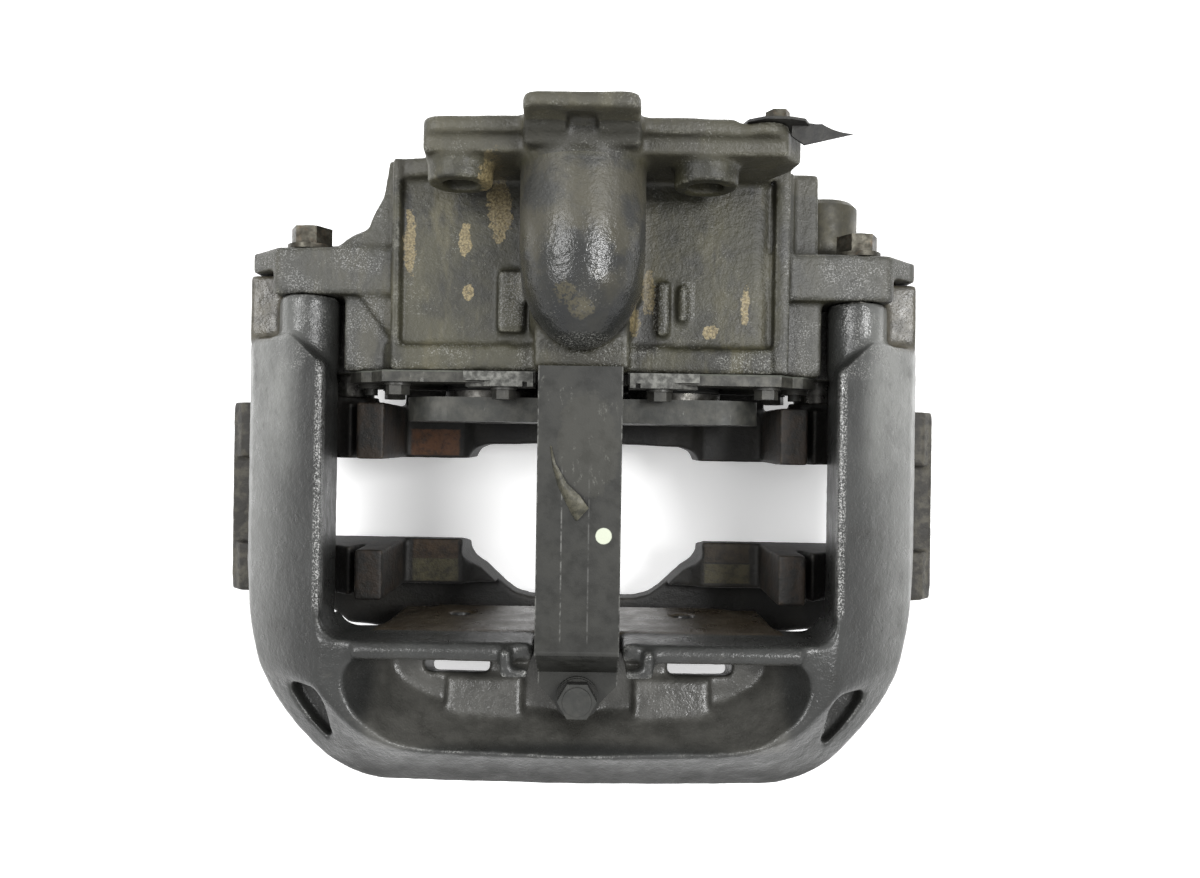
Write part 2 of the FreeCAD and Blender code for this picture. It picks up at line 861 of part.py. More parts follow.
# The dome narrows to its nose along a quarter ellipse, in short cones.
DOME_START_Y = 102
NOSE_STEPS = (15, 32, 50, 70, 90)
dome_outline = outline(
    [("0", "dome_tip_y")]
    + [
        (
            f"dome_r * {math.sin(math.radians(turn)):.4f}",
            f"{DOME_START_Y} - ({DOME_START_Y} - dome_tip_y) * {math.cos(math.radians(turn)):.4f}",
        )
        for turn in NOSE_STEPS
    ]
    + [("dome_r", "back_y + 14"), ("0", "back_y + 14")]
)
place(dome_outline, 0, 0, "chamber_z")
dome_body = document.addObject("Part::Revolution", "dome")
dome_body.Source = dome_outline
dome_body.Axis = (0, 1, 0)
dome_body.Angle = 360
dome_body.Solid = True
bind(dome_body, Base__z="chamber_z")
dome_neck = box(("1.5 - dome_r", "dome_r - 1.5"), ("86", "flange_y"), ("150", "chamber_z"))
dome_skirt = common(
    box(("4 - dome_r", "dome_r - 4"), ("66", "flange_y"), ("150", "chamber_z - 4")),
    prism(
        "x",
        [("66", "150"), ("flange_y", "150"), ("flange_y", "190"), ("86", "184"), ("72", "168")],
        ("-40", "40"),
    ),
)
flange = prism(
    "y",
    [
        ("-80", "150"),
        ("88", "150"),
        ("104", "176"),
        ("106", "190"),
        ("98", "199"),
        ("78", "207", "12"),
        ("32", "209"),
        ("27", "214", "-5"),
        ("26", "232"),
        ("20", "238", "6"),
        ("-20", "238"),
        ("-26", "232", "6"),
        ("-27", "214"),
        ("-32", "209", "-5"),
        ("-68", "207"),
        ("-76", "199", "8"),
        ("-78", "176"),
    ],
    ("flange_y", "flange_end_y"),
)
# The flange's inboard edge is chamfered all round its raised middle.
flange_steps = [
    box(("-90", "-27"), ("flange_y - 1", "flange_y + 8"), ("203", "212")),
    box(("27", "112"), ("flange_y - 1", "flange_y + 8"), ("203", "212")),
    box(("-30", "30"), ("flange_y - 1", "flange_y + 9"), ("226", "239")),
]
# The leaf bracket's seat is a little lower than the chamber's face.
leaf_seat = box(("72", "112"), ("leaf_seat_y", "flange_end_y + 1"), ("189.5", "212"))
flange_foot = prism(
    "y",
    mirrored_points(
        [("0", "block_low_z + 8"), ("70", "block_low_z + 8"), ("92", "100"), ("98", "160"), ("0", "186")]
    ),
    ("flange_y", "foot_end_y"),
)
stud_bosses = both(
    cylinder, "y", ("stud_x", "chamber_z"), ("flange_y - 11", "flange_y + 1"), "stud_hole + 7.5"
)
stud_bores = both(
    cylinder, "y", ("stud_x", "chamber_z"), ("flange_y - 12", "flange_end_y + 1"), "stud_hole"
)
left_buttress = prism(
    "z",
    [
        ("-96", "60"),
        ("-96", "foot_end_y + 2"),
        ("-104", "foot_end_y + 2"),
        ("-107", "142"),
        ("-115", "125", "50"),
        ("-131", "ear_y", "30"),
        ("-150", "ear_y - 1"),
        ("-150", "104"),
        ("-124", "96"),
    ],
    ("121", "152"),
)
right_steps = [
    box(("94", "113"), ("104", "foot_end_y"), ("100", "146")),
    box(("111", "127"), ("ear_y - 3", "foot_end_y + 1"), ("122", "141")),
]
strap_seat = box(("-24", "24"), ("seat_y", "80"), ("152", "176"))
top_bosses = [
    box(("-44", "-30"), ("70", "102"), ("150", "164")),
    box(("39", "44.5"), ("69", "97"), ("150", "163")),
    box(("49.5", "54.5"), ("77", "95"), ("150", "162")),
]

cavity = box(
    ("-cavity_x", "cavity_x"), ("housing_y - 1", "cavity_y"), ("cavity_low_z", "cavity_top_z")
)
lever_room = box(("-20", "20"), ("92", "flange_y - 4"), ("cavity_top_z - 2", "chamber_z"))
lever_dome = cylinder("y", ("0", "chamber_z"), ("86", "flange_y"), "dome_r - 6")
port = cylinder("y", ("0", "chamber_z"), ("flange_y - 6", "flange_end_y + 1"), "port_r")
# The saddle holds the bearing shells behind the lever's journals.
SADDLE_X = ("-journal_out_x - 1.5", "journal_out_x + 1.5")
saddle = box(SADDLE_X, ("pivot_y", "back_y - 2"), ("85", "134"))
saddle_bore = cylinder(
    "x",
    ("pivot_y", "pivot_z"),
    ("-journal_out_x - 2", "journal_out_x + 2"),
    "journal_r + 5",
)
saddle_gap = box(("-17.5", "17.5"), ("pivot_y - 5", "cavity_y + 2"), ("84", "150"))
adjuster_bore = cylinder("y", ("-tappet_x", "tappet_z"), ("cavity_y - 1", "foot_end_y + 1"), "9")
adjuster_access = cylinder(
    "y", ("-tappet_x", "tappet_z"), ("back_y + 2", "foot_end_y + 1"), "14"
)
# The raised middle is set back above the dome in a hollow curve, with an upright notch in it.
flange_recess = prism(
    "x",
    [
        ("flange_y - 1", "214.5"),
        ("flange_y + 4", "216"),
        ("flange_y + 8.5", "222", "-9"),
        ("flange_y + 8.5", "239"),
        ("flange_y - 1", "239"),
    ],
    ("-31", "31"),
)
flange_notch = box(("-7", "7"), ("flange_y - 1", "flange_y + 12"), ("216", "229"))
BRACKET_BOLT_X = 41
COVER_BOLTS = [(114, 88), (98, 150), (BRACKET_BOLT_X, 155)]
cover_taps = [
    tap
    for x, z in COVER_BOLTS
    for tap in both(cylinder, "y", (x, z), ("housing_y - 1", "housing_y + 11"), "3")
]
cover_bosses = [
    boss
    for x, z in COVER_BOLTS[1:]
    for boss in both(cylinder, "y", (x, z), ("housing_y", "housing_y + 14"), "7")
]
ear_bores = [
    cylinder("y", (f"{sign}{x}", z), ("joint_y - 1", "ear_y + 1"), "bolt_r + 0.3")
    for sign in ("", "-")
    for x, z in (("bolt_high_x", "bolt_high_z"), ("bolt_low_x", "bolt_low_z"))
]
ear_dowel_rooms = [
    cylinder("y", (x, "bolt_high_z"), ("joint_y - 1", "joint_y + 6"), "bolt_r + 2.5")
    for x in ("bolt_high_x", "-bolt_high_x")
]
leaf_tap = cylinder("y", ("92", "200"), ("flange_y + 9", "flange_end_y + 1"), "3")
core = fuse(
    block,
    front_flange,
    *ears,
    *pin_housings,
    *pin_webs,
    *corner_blocks,
    front_ledge,
    left_rim,
    right_rim,
    left_buttress,
    *right_steps,
    strap_seat,
    *top_bosses,
    *cover_bosses,
)
dome = fuse(dome_body, dome_neck, dome_skirt)
chamber_end = fuse(cut(flange, *flange_steps, leaf_seat), flange_foot, *stud_bosses)
shell = fuse(core, dome, chamber_end)
hollow = cut(
    shell, cavity, lever_room, lever_dome, port, *pin_rooms, *stud_bores, flange_recess, flange_notch
)
name_part(
    "housing",
    cut(
        fuse(hollow, saddle, *cap_spigots),
        saddle_bore,
        saddle_gap,
        adjuster_bore,
        adjuster_access,
        *cover_taps,
        *ear_bores,
        *ear_dowel_rooms,
        *ear_notches,
        leaf_tap,
    ),
)

# ---------------------------------------------------------------- cover

strap_notch = box(("-24", "24"), ("cover_y - 1", "housing_y + 1"), ("150", "176"))
cover_outline = mirrored_points(
    [
        ("0", "cover_low_z"),
        ("cover_x - 8", "cover_low_z"),
        ("cover_x", "87"),
        ("cover_x", "140"),
        ("cover_x - 8", "148"),
        ("112", "150"),
        ("104", "160"),
        ("0", "163"),
    ]
)


def cover_sheet(y_range, bolt_hole):
    """A plate of the cover's outline, with its bolt holes and the two tappet holes."""
    holes = [
        hole
        for x, z in COVER_BOLTS
        for hole in both(
            cylinder, "y", (x, z), (f"{y_range[0]} - 1", f"{y_range[1]} + 1"), bolt_hole
        )
    ]
    tappet_holes = both(
        cylinder,
        "y",
        ("tappet_x", "tappet_z"),
        (f"{y_range[0]} - 1", f"{y_range[1]} + 1"),
        "head_r + 1",
    )
    pin_notches = both(
        cylinder,
        "y",
        ("pin_x", "pin_z"),
        (f"{y_range[0]} - 1", f"{y_range[1]} + 1"),
        "sleeve_r + 2",
    )
    sheet_blank = prism("y", cover_outline, y_range)
    return cut(sheet_blank, strap_notch, *holes, *tappet_holes, *pin_notches)


name_part("cover_plate", cover_sheet(("cover_y", "housing_y - 0.8"), "3.2"))
name_part("cover_gasket", cover_sheet(("housing_y - 0.8", "housing_y"), "3.2"))


def cover_bolt(x, z):
    """A small hexagon bolt into the housing's front, its head on the disc side."""
    seat = "cover_y - 2" if x == BRACKET_BOLT_X else "cover_y"
    shank = cylinder("y", (x, z), (f"{seat} - 1", "housing_y + 10"), "3")
    collar = cylinder("y", (x, z), (f"{seat} - 1.5", seat), "7")
    head = hexagon("y", (x, z), (f"{seat} - 6.5", f"{seat} - 1"), "11")
    return fuse(shank, collar, head)


name_part(
    "cover_bolts",
    group(*(bolt for x, z in COVER_BOLTS for bolt in both(cover_bolt, x, z))),
)


def cover_bracket():
    """A clip over the upper edge of the cover, under a bolt, with a small notch in its lip."""
    plate = box(("25", "61"), ("cover_y - 2", "cover_y"), ("143", "164.5"))
    lip = box(("25", "61"), ("cover_y - 1", "housing_y - 0.3"), ("162.6", "164.5"))
    notch = box(("28", "30.5"), ("cover_y - 3", "cover_y + 0.5"), ("160", "165"))
    slope = prism(
        "y", [("61.1", "164.6"), ("47", "164.6"), ("61.1", "156")], ("cover_y - 3", "cover_y + 1")
    )
    hole = cylinder("y", (BRACKET_BOLT_X, "155"), ("cover_y - 3", "cover_y + 1"), "3.2")
    return cut(fuse(plate, lip), notch, slope, hole)


name_part("cover_brackets", group(*both(cover_bracket)))


def stub_pin():
    """A short pin on the cover's face, in front of the carrier's horn, with a wide collar."""
    pin = cylinder("y", ("118", "127"), ("frame_in_y + 4", "cover_y"), "3.5")
    collar = cylinder("y", ("118", "127"), ("cover_y - 2.5", "cover_y"), "7.5")
    return fuse(pin, collar)


name_part("stub_pins", group(*both(stub_pin)))

# ---------------------------------------------------------------- pad retainer

strap_flat = box(
    ("-strap_half", "strap_half"), ("-90", "seat_y - 7"), ("strap_z", "strap_z + strap_thick")
)
strap_lip = box(
    ("-strap_half", "strap_half"), ("seat_y - 8", "seat_y"), ("176.3", "strap_z + strap_thick")
)
strap_ramp = prism(
    "x",
    [
        ("-90", "strap_z"),
        ("-90", "strap_z + strap_thick"),
        ("-92", "strap_z + strap_thick", "4"),
        ("-108", "152.5"),
        ("-134", "152.5"),
        ("-134", "150"),
        ("-109", "150"),
    ],
    ("-strap_half", "strap_half"),
)
tab_shape = prism(
    "z",
    [
        ("-strap_half", "60"),
        ("-strap_half", "strap_bolt_y + 6"),
        ("-12", "strap_bolt_y - 3"),
        ("12", "strap_bolt_y - 3", "12.4"),
        ("strap_half", "strap_bolt_y + 6"),
        ("strap_half", "60"),
    ],
    ("140", "190"),
)
strap_hole = cylinder("z", ("strap_bolt_x", "strap_bolt_y"), ("149", "154"), "5.5")
name_part(
    "pad_retainer",
    cut(common(fuse(strap_flat, strap_lip, strap_ramp), tab_shape), strap_hole),
)
bolt_spot = ("strap_bolt_x", "strap_bolt_y")
washer_range = ("152.5", "154.5")
name_part("retainer_washer", ring("z", bolt_spot, washer_range, "11", "5.4"))
retainer_head = hexagon("z", bolt_spot, ("155.5", "162"), "18")
name_part(
    "retainer_bolt",
    fuse(
        cylinder("z", bolt_spot, ("128", "157"), "5"),
        cylinder("z", bolt_spot, ("154.5", "156"), "10.5"),
        cylinder("z", bolt_spot, ("161", "162.6"), "7.5"),
        retainer_head,
    ),
)

# ---------------------------------------------------------------- leaf bracket

leaf_y = ("leaf_seat_y", "leaf_seat_y + 1.2")
leaf_flat = prism(
    "y",
    [
        ("74", "198"),
        ("84", "192"),
        ("104", "194"),
        ("109", "199"),
        ("103", "210"),
        ("96", "212.5"),
        ("84", "212.5"),
        ("77", "208"),
    ],
    leaf_y,
)
# Beyond the flange's edge the leaf is folded forwards.
leaf_flap = prism(
    "z",
    [
        ("98", "leaf_seat_y + 1.2"),
        ("98", "159"),
        ("104", "155"),
        ("127", "160.5"),
        ("112", "165", "-30"),
        ("107", "leaf_seat_y + 1.2", "-12"),
    ],
    ("203", "204.2"),
)
leaf_hole = cylinder("y", ("92", "200"), ("leaf_seat_y - 1", "leaf_seat_y + 3"), "3.2")
name_part("leaf_bracket", cut(fuse(leaf_flat, leaf_flap), leaf_hole))
leaf_washer_y = ("leaf_seat_y + 1.2", "leaf_seat_y + 2.4")
name_part("leaf_washer", ring("y", ("92", "200"), leaf_washer_y, "6.5", "3.2"))
name_part(
    "leaf_screw",
    fuse(
        cylinder("y", ("92", "200"), ("flange_y + 9.5", "leaf_seat_y + 3"), "3"),
        hexagon("y", ("92", "200"), ("leaf_seat_y + 2.4", "end_y"), "10"),
    ),
)

# ---------------------------------------------------------------- lever

pivot = ("pivot_y", "pivot_z")
journals = both(cylinder, "x", pivot, ("journal_in_x - 3", "journal_out_x"), "journal_r")
lever_middle = cylinder("x", pivot, ("-16", "16"), "journal_r - 2")
lever_arm = prism(
    "x",
    [
        ("pivot_y - 8", "pivot_z + 6"),
        ("pivot_y + 10", "pivot_z + 2"),
        ("pivot_y + 23", "chamber_z - 14"),
        ("pivot_y + 28", "chamber_z - 8"),
        ("pivot_y + 28", "chamber_z + 6"),
        ("pivot_y + 10", "chamber_z + 8", "14"),
    ],
    ("-13", "13"),
)
lever_flat = box(
    ("-journal_out_x - 1", "journal_out_x + 1"),
    ("pivot_y - 20", "pivot_y - 4"),
    ("pivot_z - 20", "pivot_z + 15"),
)
roller_spot = ("pivot_y - 6", "pivot_z + 8")
roller_rooms = both(cylinder, "x", roller_spot, ("journal_in_x", "journal_out_x + 1"), "6")
cup_room = cylinder("y", ("0", "chamber_z - 1"), ("pivot_y + 20", "pivot_y + 29"), "9")
name_part(
    "lever",
    cut(
        fuse(cut(fuse(*journals, lever_middle), lever_flat), lever_arm),
        *roller_rooms,
        cup_room,
    ),
)
cup_ball = document.addObject("Part::Sphere", "cup_ball")
place(cup_ball, "0", "pivot_y + 31", "chamber_z - 1")
bind(cup_ball, Radius="8")
cup_blank = cylinder("y", ("0", "chamber_z - 1"), ("pivot_y + 20", "pivot_y + 29"), "9")
name_part("lever_cup", cut(cup_blank, cup_ball))
rollers = both(cylinder, "x", roller_spot, ("journal_in_x + 0.2", "journal_out_x"), "6")
name_part("eccentric_rollers", group(*rollers))

behind_pivot = box(
    ("-journal_out_x - 2", "journal_out_x + 2"),
    ("pivot_y", "pivot_y + 24"),
    ("pivot_z - 21", "pivot_z + 21"),
)
shells = both(
    ring, "x", pivot, ("journal_in_x", "journal_out_x"), "journal_r + 5", "journal_r + 3"
)
name_part("bearing_shells", group(*(common(shell_ring, behind_pivot) for shell_ring in shells)))
NEEDLES = 9
needle_turns = [math.radians(-72 + 144 * index / (NEEDLES - 1)) for index in range(NEEDLES)]
needles = [
    needle
    for turn in needle_turns
    for needle in both(
        cylinder,
        "x",
        (
            f"pivot_y + (journal_r + 1.65) * {math.cos(turn):.5f}",
            f"pivot_z + (journal_r + 1.65) * {math.sin(turn):.5f}",
        ),
        ("journal_in_x + 0.5", "journal_out_x - 0.5"),
        "1.3",
    )
]
name_part("needle_rollers", group(*needles))

# ---------------------------------------------------------------- traverse and screws

traverse_face = "pivot_y - 6 - 6.3"
traverse_body = prism(
    "y",
    mirrored_points(
        [
            ("0", "99"),
            ("20", "99"),
            ("34", "94"),
            ("70", "94"),
            ("80", "104"),
            ("80", "128"),
            ("70", "138"),
            ("40", "140"),
            ("0", "136"),
        ]
    ),
    ("gear_y + gear_width + 0.6", traverse_face),
)
spindle_rooms = both(
    cylinder,
    "y",
    ("tappet_x", "tappet_z"),
    ("gear_y", "pivot_y"),
    "spindle_r + 0.08",
)
idler_bore = cylinder("y", ("0", "tappet_z"), ("gear_y", "gear_y + gear_width + 6"), "5")
name_part("traverse", cut(traverse_body, *spindle_rooms, idler_bore))
idler_pin = fuse(
    cylinder(
        "y", ("0", "tappet_z"), ("gear_y - 1.5", "gear_y + gear_width + 6"), "5"
    ),
    cylinder("y", ("0", "tappet_z"), ("gear_y - 4", "gear_y - 0.6"), "8"),
)
name_part("idler_stub", idler_pin)


def gear(x, teeth, bore, phase):
    """A spur gear across Y, with straight-sided teeth and a bore."""
    module = number("gear_module")
    pitch = module * teeth / 2
    step = 2 * math.pi / teeth
    flank = (("root", -0.30), ("tip", -0.13), ("tip", 0.13), ("root", 0.30))
    radii = {"root": pitch - 1.2 * module, "tip": pitch + 0.85 * module}
    corners = [
        FreeCAD.Vector(
            radii[level] * math.cos((tooth + shift + phase) * step),
            0,
            radii[level] * math.sin((tooth + shift + phase) * step),
        )
        for tooth in range(teeth)
        for level, shift in flank
    ]
    face = Part.Face(Part.makePolygon(corners + corners[:1]))
    wheel = face.extrude(FreeCAD.Vector(0, number("gear_width"), 0))
    hole = Part.makeCylinder(
        number(bore),
        number("gear_width") + 2,
        FreeCAD.Vector(0, -1, 0),
        FreeCAD.Vector(0, 1, 0),
    )
    solid = document.addObject("Part::Feature", "gear")
    solid.Shape = wheel.cut(hole)
    return place(solid, x, "gear_y", "tappet_z")


# A tooth of the left and right gears points along X at the idler; the idler has a gap there.
name_part("gear_right", gear("tappet_x", DIMENSIONS["gear_teeth"], "spindle_r + 0.08", 0))
name_part("gear_left", gear("-tappet_x", DIMENSIONS["gear_teeth"], "spindle_r + 0.08", 0))
name_part("gear_idler", gear("0", DIMENSIONS["idler_teeth"], "5.05", 0.5))

for side in ("right", "left"):
    x = "tappet_x" if side == "right" else "-tappet_x"
    centre = (x, "tappet_z")
    tube = cylinder("y", centre, ("plate_back_y + 10", "cavity_y - 5"), "spindle_r")
    bore = cylinder("y", centre, ("plate_back_y + 16", "cavity_y"), "clutch_r + 0.08")
    name_part(f"spindle_{side}", cut(tube, bore))


def tappet_head(x):
    """A cup on the front end of a screw, which presses on the thrust plate."""
    centre = (x, "tappet_z")
    cup = cylinder("y", centre, ("plate_back_y", "housing_y + 8"), "head_r - 6")
    collar = cylinder("y", centre, ("plate_back_y", "plate_back_y + 4"), "head_r - 1")
    room = cylinder("y", centre, ("plate_back_y + 9.9", "housing_y + 9"), "spindle_r + 0.08")
    return cut(fuse(cup, collar), room)


name_part("tappet_heads", group(tappet_head("tappet_x"), tappet_head("-tappet_x")))
plate_outline = mirrored_points(
    [
        ("0", "88"),
        ("plate_x - 26", "83"),
        ("plate_x", "108", "27"),
        ("plate_x", "122"),
        ("plate_x - 26", "147", "27"),
        ("0", "148"),
    ]
)
dimples = both(
    cylinder, "y", ("tappet_x", "tappet_z"), ("plate_front_y - 1", "plate_front_y + 2"), "12"
)
name_part(
    "thrust_plate",
    cut(prism("y", plate_outline, ("plate_front_y", "plate_back_y")), *dimples),
)


def boot(x):
    """A short bellows between a tappet's collar and the cover."""
    centre = (x, "tappet_z")
    folds = [
        torus("y", centre, f"plate_back_y + 5.8 + {3.2 * turn}", "head_r - 1", "1.5")
        for turn in range(3)
    ]
    sleeve = ring("y", centre, ("plate_back_y + 4.2", "housing_y + 4"), "head_r - 0.5", "head_r - 2.5")
    return fuse(sleeve, *folds)


name_part("tappet_boots", group(boot("tappet_x"), boot("-tappet_x")))

# ---------------------------------------------------------------- adjuster and spring

adjuster_spot = ("-tappet_x", "tappet_z")
adjuster_rod = fuse(
    cylinder("y", adjuster_spot, ("80", "back_y + 4"), "5"),
    cylinder("y", adjuster_spot, ("78", "81"), "7"),
)
name_part("adjuster_shaft", adjuster_rod)
name_part("adjuster_clutch", ring("y", adjuster_spot, ("82", "126"), "clutch_r", "5"))
name_part(
    "adjuster_bush",
    ring("y", adjuster_spot, ("cavity_y", "back_y + 2"), "9", "5.06"),
)
name_part(
    "shear_adapter",
    cut(
        hexagon("y", adjuster_spot, ("back_y + 2.5", "back_y + 11"), "13"),
        cylinder("y", adjuster_spot, ("back_y + 1", "back_y + 4"), "5"),
    ),
)
name_part(
    "adjuster_cap",
    fuse(
        cylinder("y", adjuster_spot, ("back_y + 11.5", "foot_end_y"), "13.9"),
        cylinder("y", adjuster_spot, ("foot_end_y", "foot_end_y + 3"), "17"),
    ),
)

SPRING_TURNS = 3
SPRING_WIRE = 1.3
SPRING_RADIUS = 13
spring_base = number("housing_y") + SPRING_WIRE
spring_height = number("gear_y - 6") - SPRING_WIRE - spring_base
coil = Part.makeHelix(spring_height / SPRING_TURNS, spring_height, SPRING_RADIUS)
WIRE_FLATS = 8
flat_turns = [2 * math.pi * (corner + 0.5) / WIRE_FLATS for corner in range(WIRE_FLATS)]
wire_corners = [
    FreeCAD.Vector(
        SPRING_RADIUS + SPRING_WIRE * math.cos(turn), 0, SPRING_WIRE * math.sin(turn)
    )
    for turn in flat_turns
]
wire_section = Part.makePolygon(wire_corners + wire_corners[:1])
spring = document.addObject("Part::Feature", "spring")
spring.Shape = Part.Wire(coil).makePipeShell([wire_section], True, True)
place(spring, 0, spring_base, "tappet_z", (1, 0, 0), -90)
name_part("return_spring", spring)
name_part("spring_seat", ring("y", ("0", "tappet_z"), ("gear_y - 6", "gear_y - 4"), "16", "5"))

# ---------------------------------------------------------------- check and write

document.recompute()
for obj in document.Objects:
    if "Invalid" in obj.State or "Error" in obj.State:
        raise RuntimeError(f"{obj.Label}: {obj.State}")
os.makedirs("parts", exist_ok=True)
for solid in parts:
    shape = solid.Shape
    if shape.isNull() or not shape.isValid() or not shape.Solids:
        raise RuntimeError(f"{solid.Label} has no valid solid")
    shape.exportStep(f"parts/{solid.Label}.step")
    print(f"{solid.Label}: {len(shape.Solids)} solids, {shape.Volume / 1000:.1f} cm3")
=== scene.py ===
import json
import math

import bmesh
import bpy
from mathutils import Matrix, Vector


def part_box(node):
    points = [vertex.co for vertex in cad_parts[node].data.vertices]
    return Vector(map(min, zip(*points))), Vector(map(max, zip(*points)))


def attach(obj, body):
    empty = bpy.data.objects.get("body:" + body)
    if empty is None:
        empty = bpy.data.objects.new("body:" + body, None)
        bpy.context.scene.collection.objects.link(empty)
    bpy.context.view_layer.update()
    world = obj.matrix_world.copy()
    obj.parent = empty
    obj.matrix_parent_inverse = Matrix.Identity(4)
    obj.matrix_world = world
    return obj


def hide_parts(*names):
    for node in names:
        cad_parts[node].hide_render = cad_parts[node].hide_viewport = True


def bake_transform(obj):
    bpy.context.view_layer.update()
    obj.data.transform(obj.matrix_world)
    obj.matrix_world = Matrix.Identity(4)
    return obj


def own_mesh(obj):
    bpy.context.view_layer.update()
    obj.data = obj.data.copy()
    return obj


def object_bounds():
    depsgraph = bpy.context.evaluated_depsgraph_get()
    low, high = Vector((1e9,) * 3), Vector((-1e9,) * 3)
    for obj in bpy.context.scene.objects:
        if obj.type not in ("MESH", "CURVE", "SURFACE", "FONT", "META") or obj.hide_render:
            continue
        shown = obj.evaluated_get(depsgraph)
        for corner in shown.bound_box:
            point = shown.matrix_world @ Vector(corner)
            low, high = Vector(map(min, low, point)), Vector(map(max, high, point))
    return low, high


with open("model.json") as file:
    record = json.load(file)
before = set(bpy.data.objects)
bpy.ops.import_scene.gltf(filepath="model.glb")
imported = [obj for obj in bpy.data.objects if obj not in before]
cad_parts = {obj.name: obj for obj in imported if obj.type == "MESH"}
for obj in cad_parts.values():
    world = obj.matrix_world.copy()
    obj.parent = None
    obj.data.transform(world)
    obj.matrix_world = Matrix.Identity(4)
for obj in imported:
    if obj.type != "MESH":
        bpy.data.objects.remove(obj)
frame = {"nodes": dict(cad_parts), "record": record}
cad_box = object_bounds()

MM = 0.001
NODES = frame["nodes"]
BODY_OF = {
    node: body
    for body, nodes in frame["record"]["behaviour"]["bodies"].items()
    for node in nodes
}
SLOT_OF = {part["node"]: part["material_slot"] for part in frame["record"]["subparts"]}
scene = bpy.context.scene
scene.view_settings.view_transform = "Standard"


def add_object(name, data):
    """Puts a new object into the scene."""
    obj = bpy.data.objects.new(name, data)
    scene.collection.objects.link(obj)
    return obj


# ------------------------------------------------------------------ camera and light

CAMERA_PLACE = (0.010, 0.0155, 0.611)
CAMERA_ROLL = 0.85
CAMERA_LENS = 26
CAMERA_SENSOR = 36
CAMERA_NEAR = 0.01

# Each lamp's name, place and side in metres, and power in watts.
LAMPS = [
    ("window", (-0.95, 0.35, 1.45), 0.6, 15),
    ("lamp", (0.72, 0.20, 1.35), 0.35, 15),
    ("fill", (0.1, -1.3, 1.5), 1.0, 2.5),
]
LAMPS_AIM = (0, 0, 0.1)
WHITE = (1, 1, 1, 1)
ROOM_LIGHT = 0.80


def add_camera():
    """The camera, above the part and looking straight down."""
    camera = add_object("camera", bpy.data.cameras.new("camera"))
    camera.location = CAMERA_PLACE
    camera.rotation_euler = (0, 0, math.radians(CAMERA_ROLL))
    camera.data.lens = CAMERA_LENS
    camera.data.sensor_width = CAMERA_SENSOR
    camera.data.clip_start = CAMERA_NEAR
    scene.camera = camera


def add_lamp(name, place, size, power):
    """A large square area lamp that points at the part."""
    lamp = bpy.data.lights.new(name, "AREA")
    lamp.shape = "SQUARE"
    lamp.size = size
    lamp.energy = power
    obj = add_object(name, lamp)
    obj.location = place
    direction = Vector(LAMPS_AIM) - obj.location
    obj.rotation_euler = direction.to_track_quat("-Z", "Y").to_euler()


def add_room():
    """An even white light from all around."""
    world = bpy.data.worlds.new("room")
    world.use_nodes = True
    background = world.node_tree.nodes["Background"]
    background.inputs["Color"].default_value = WHITE
    background.inputs["Strength"].default_value = ROOM_LIGHT
    scene.world = world


add_camera()
for lamp in LAMPS:
    add_lamp(*lamp)
add_room()


# ------------------------------------------------------------------ materials

# The Mix node's two colour inputs and its colour output. It has other sockets of these names.
MIX_FIRST = 6
MIX_SECOND = 7
MIX_RESULT = 2
# The steepness of an edge where it starts to look worn, and where it does fully.
WORN = (0.515, 0.56)
# How open to the air a place is where it counts as out of a hollow, and as deep in it.
OPENNESS = (0.95, 0.45)
OPENNESS_SAMPLES = 6


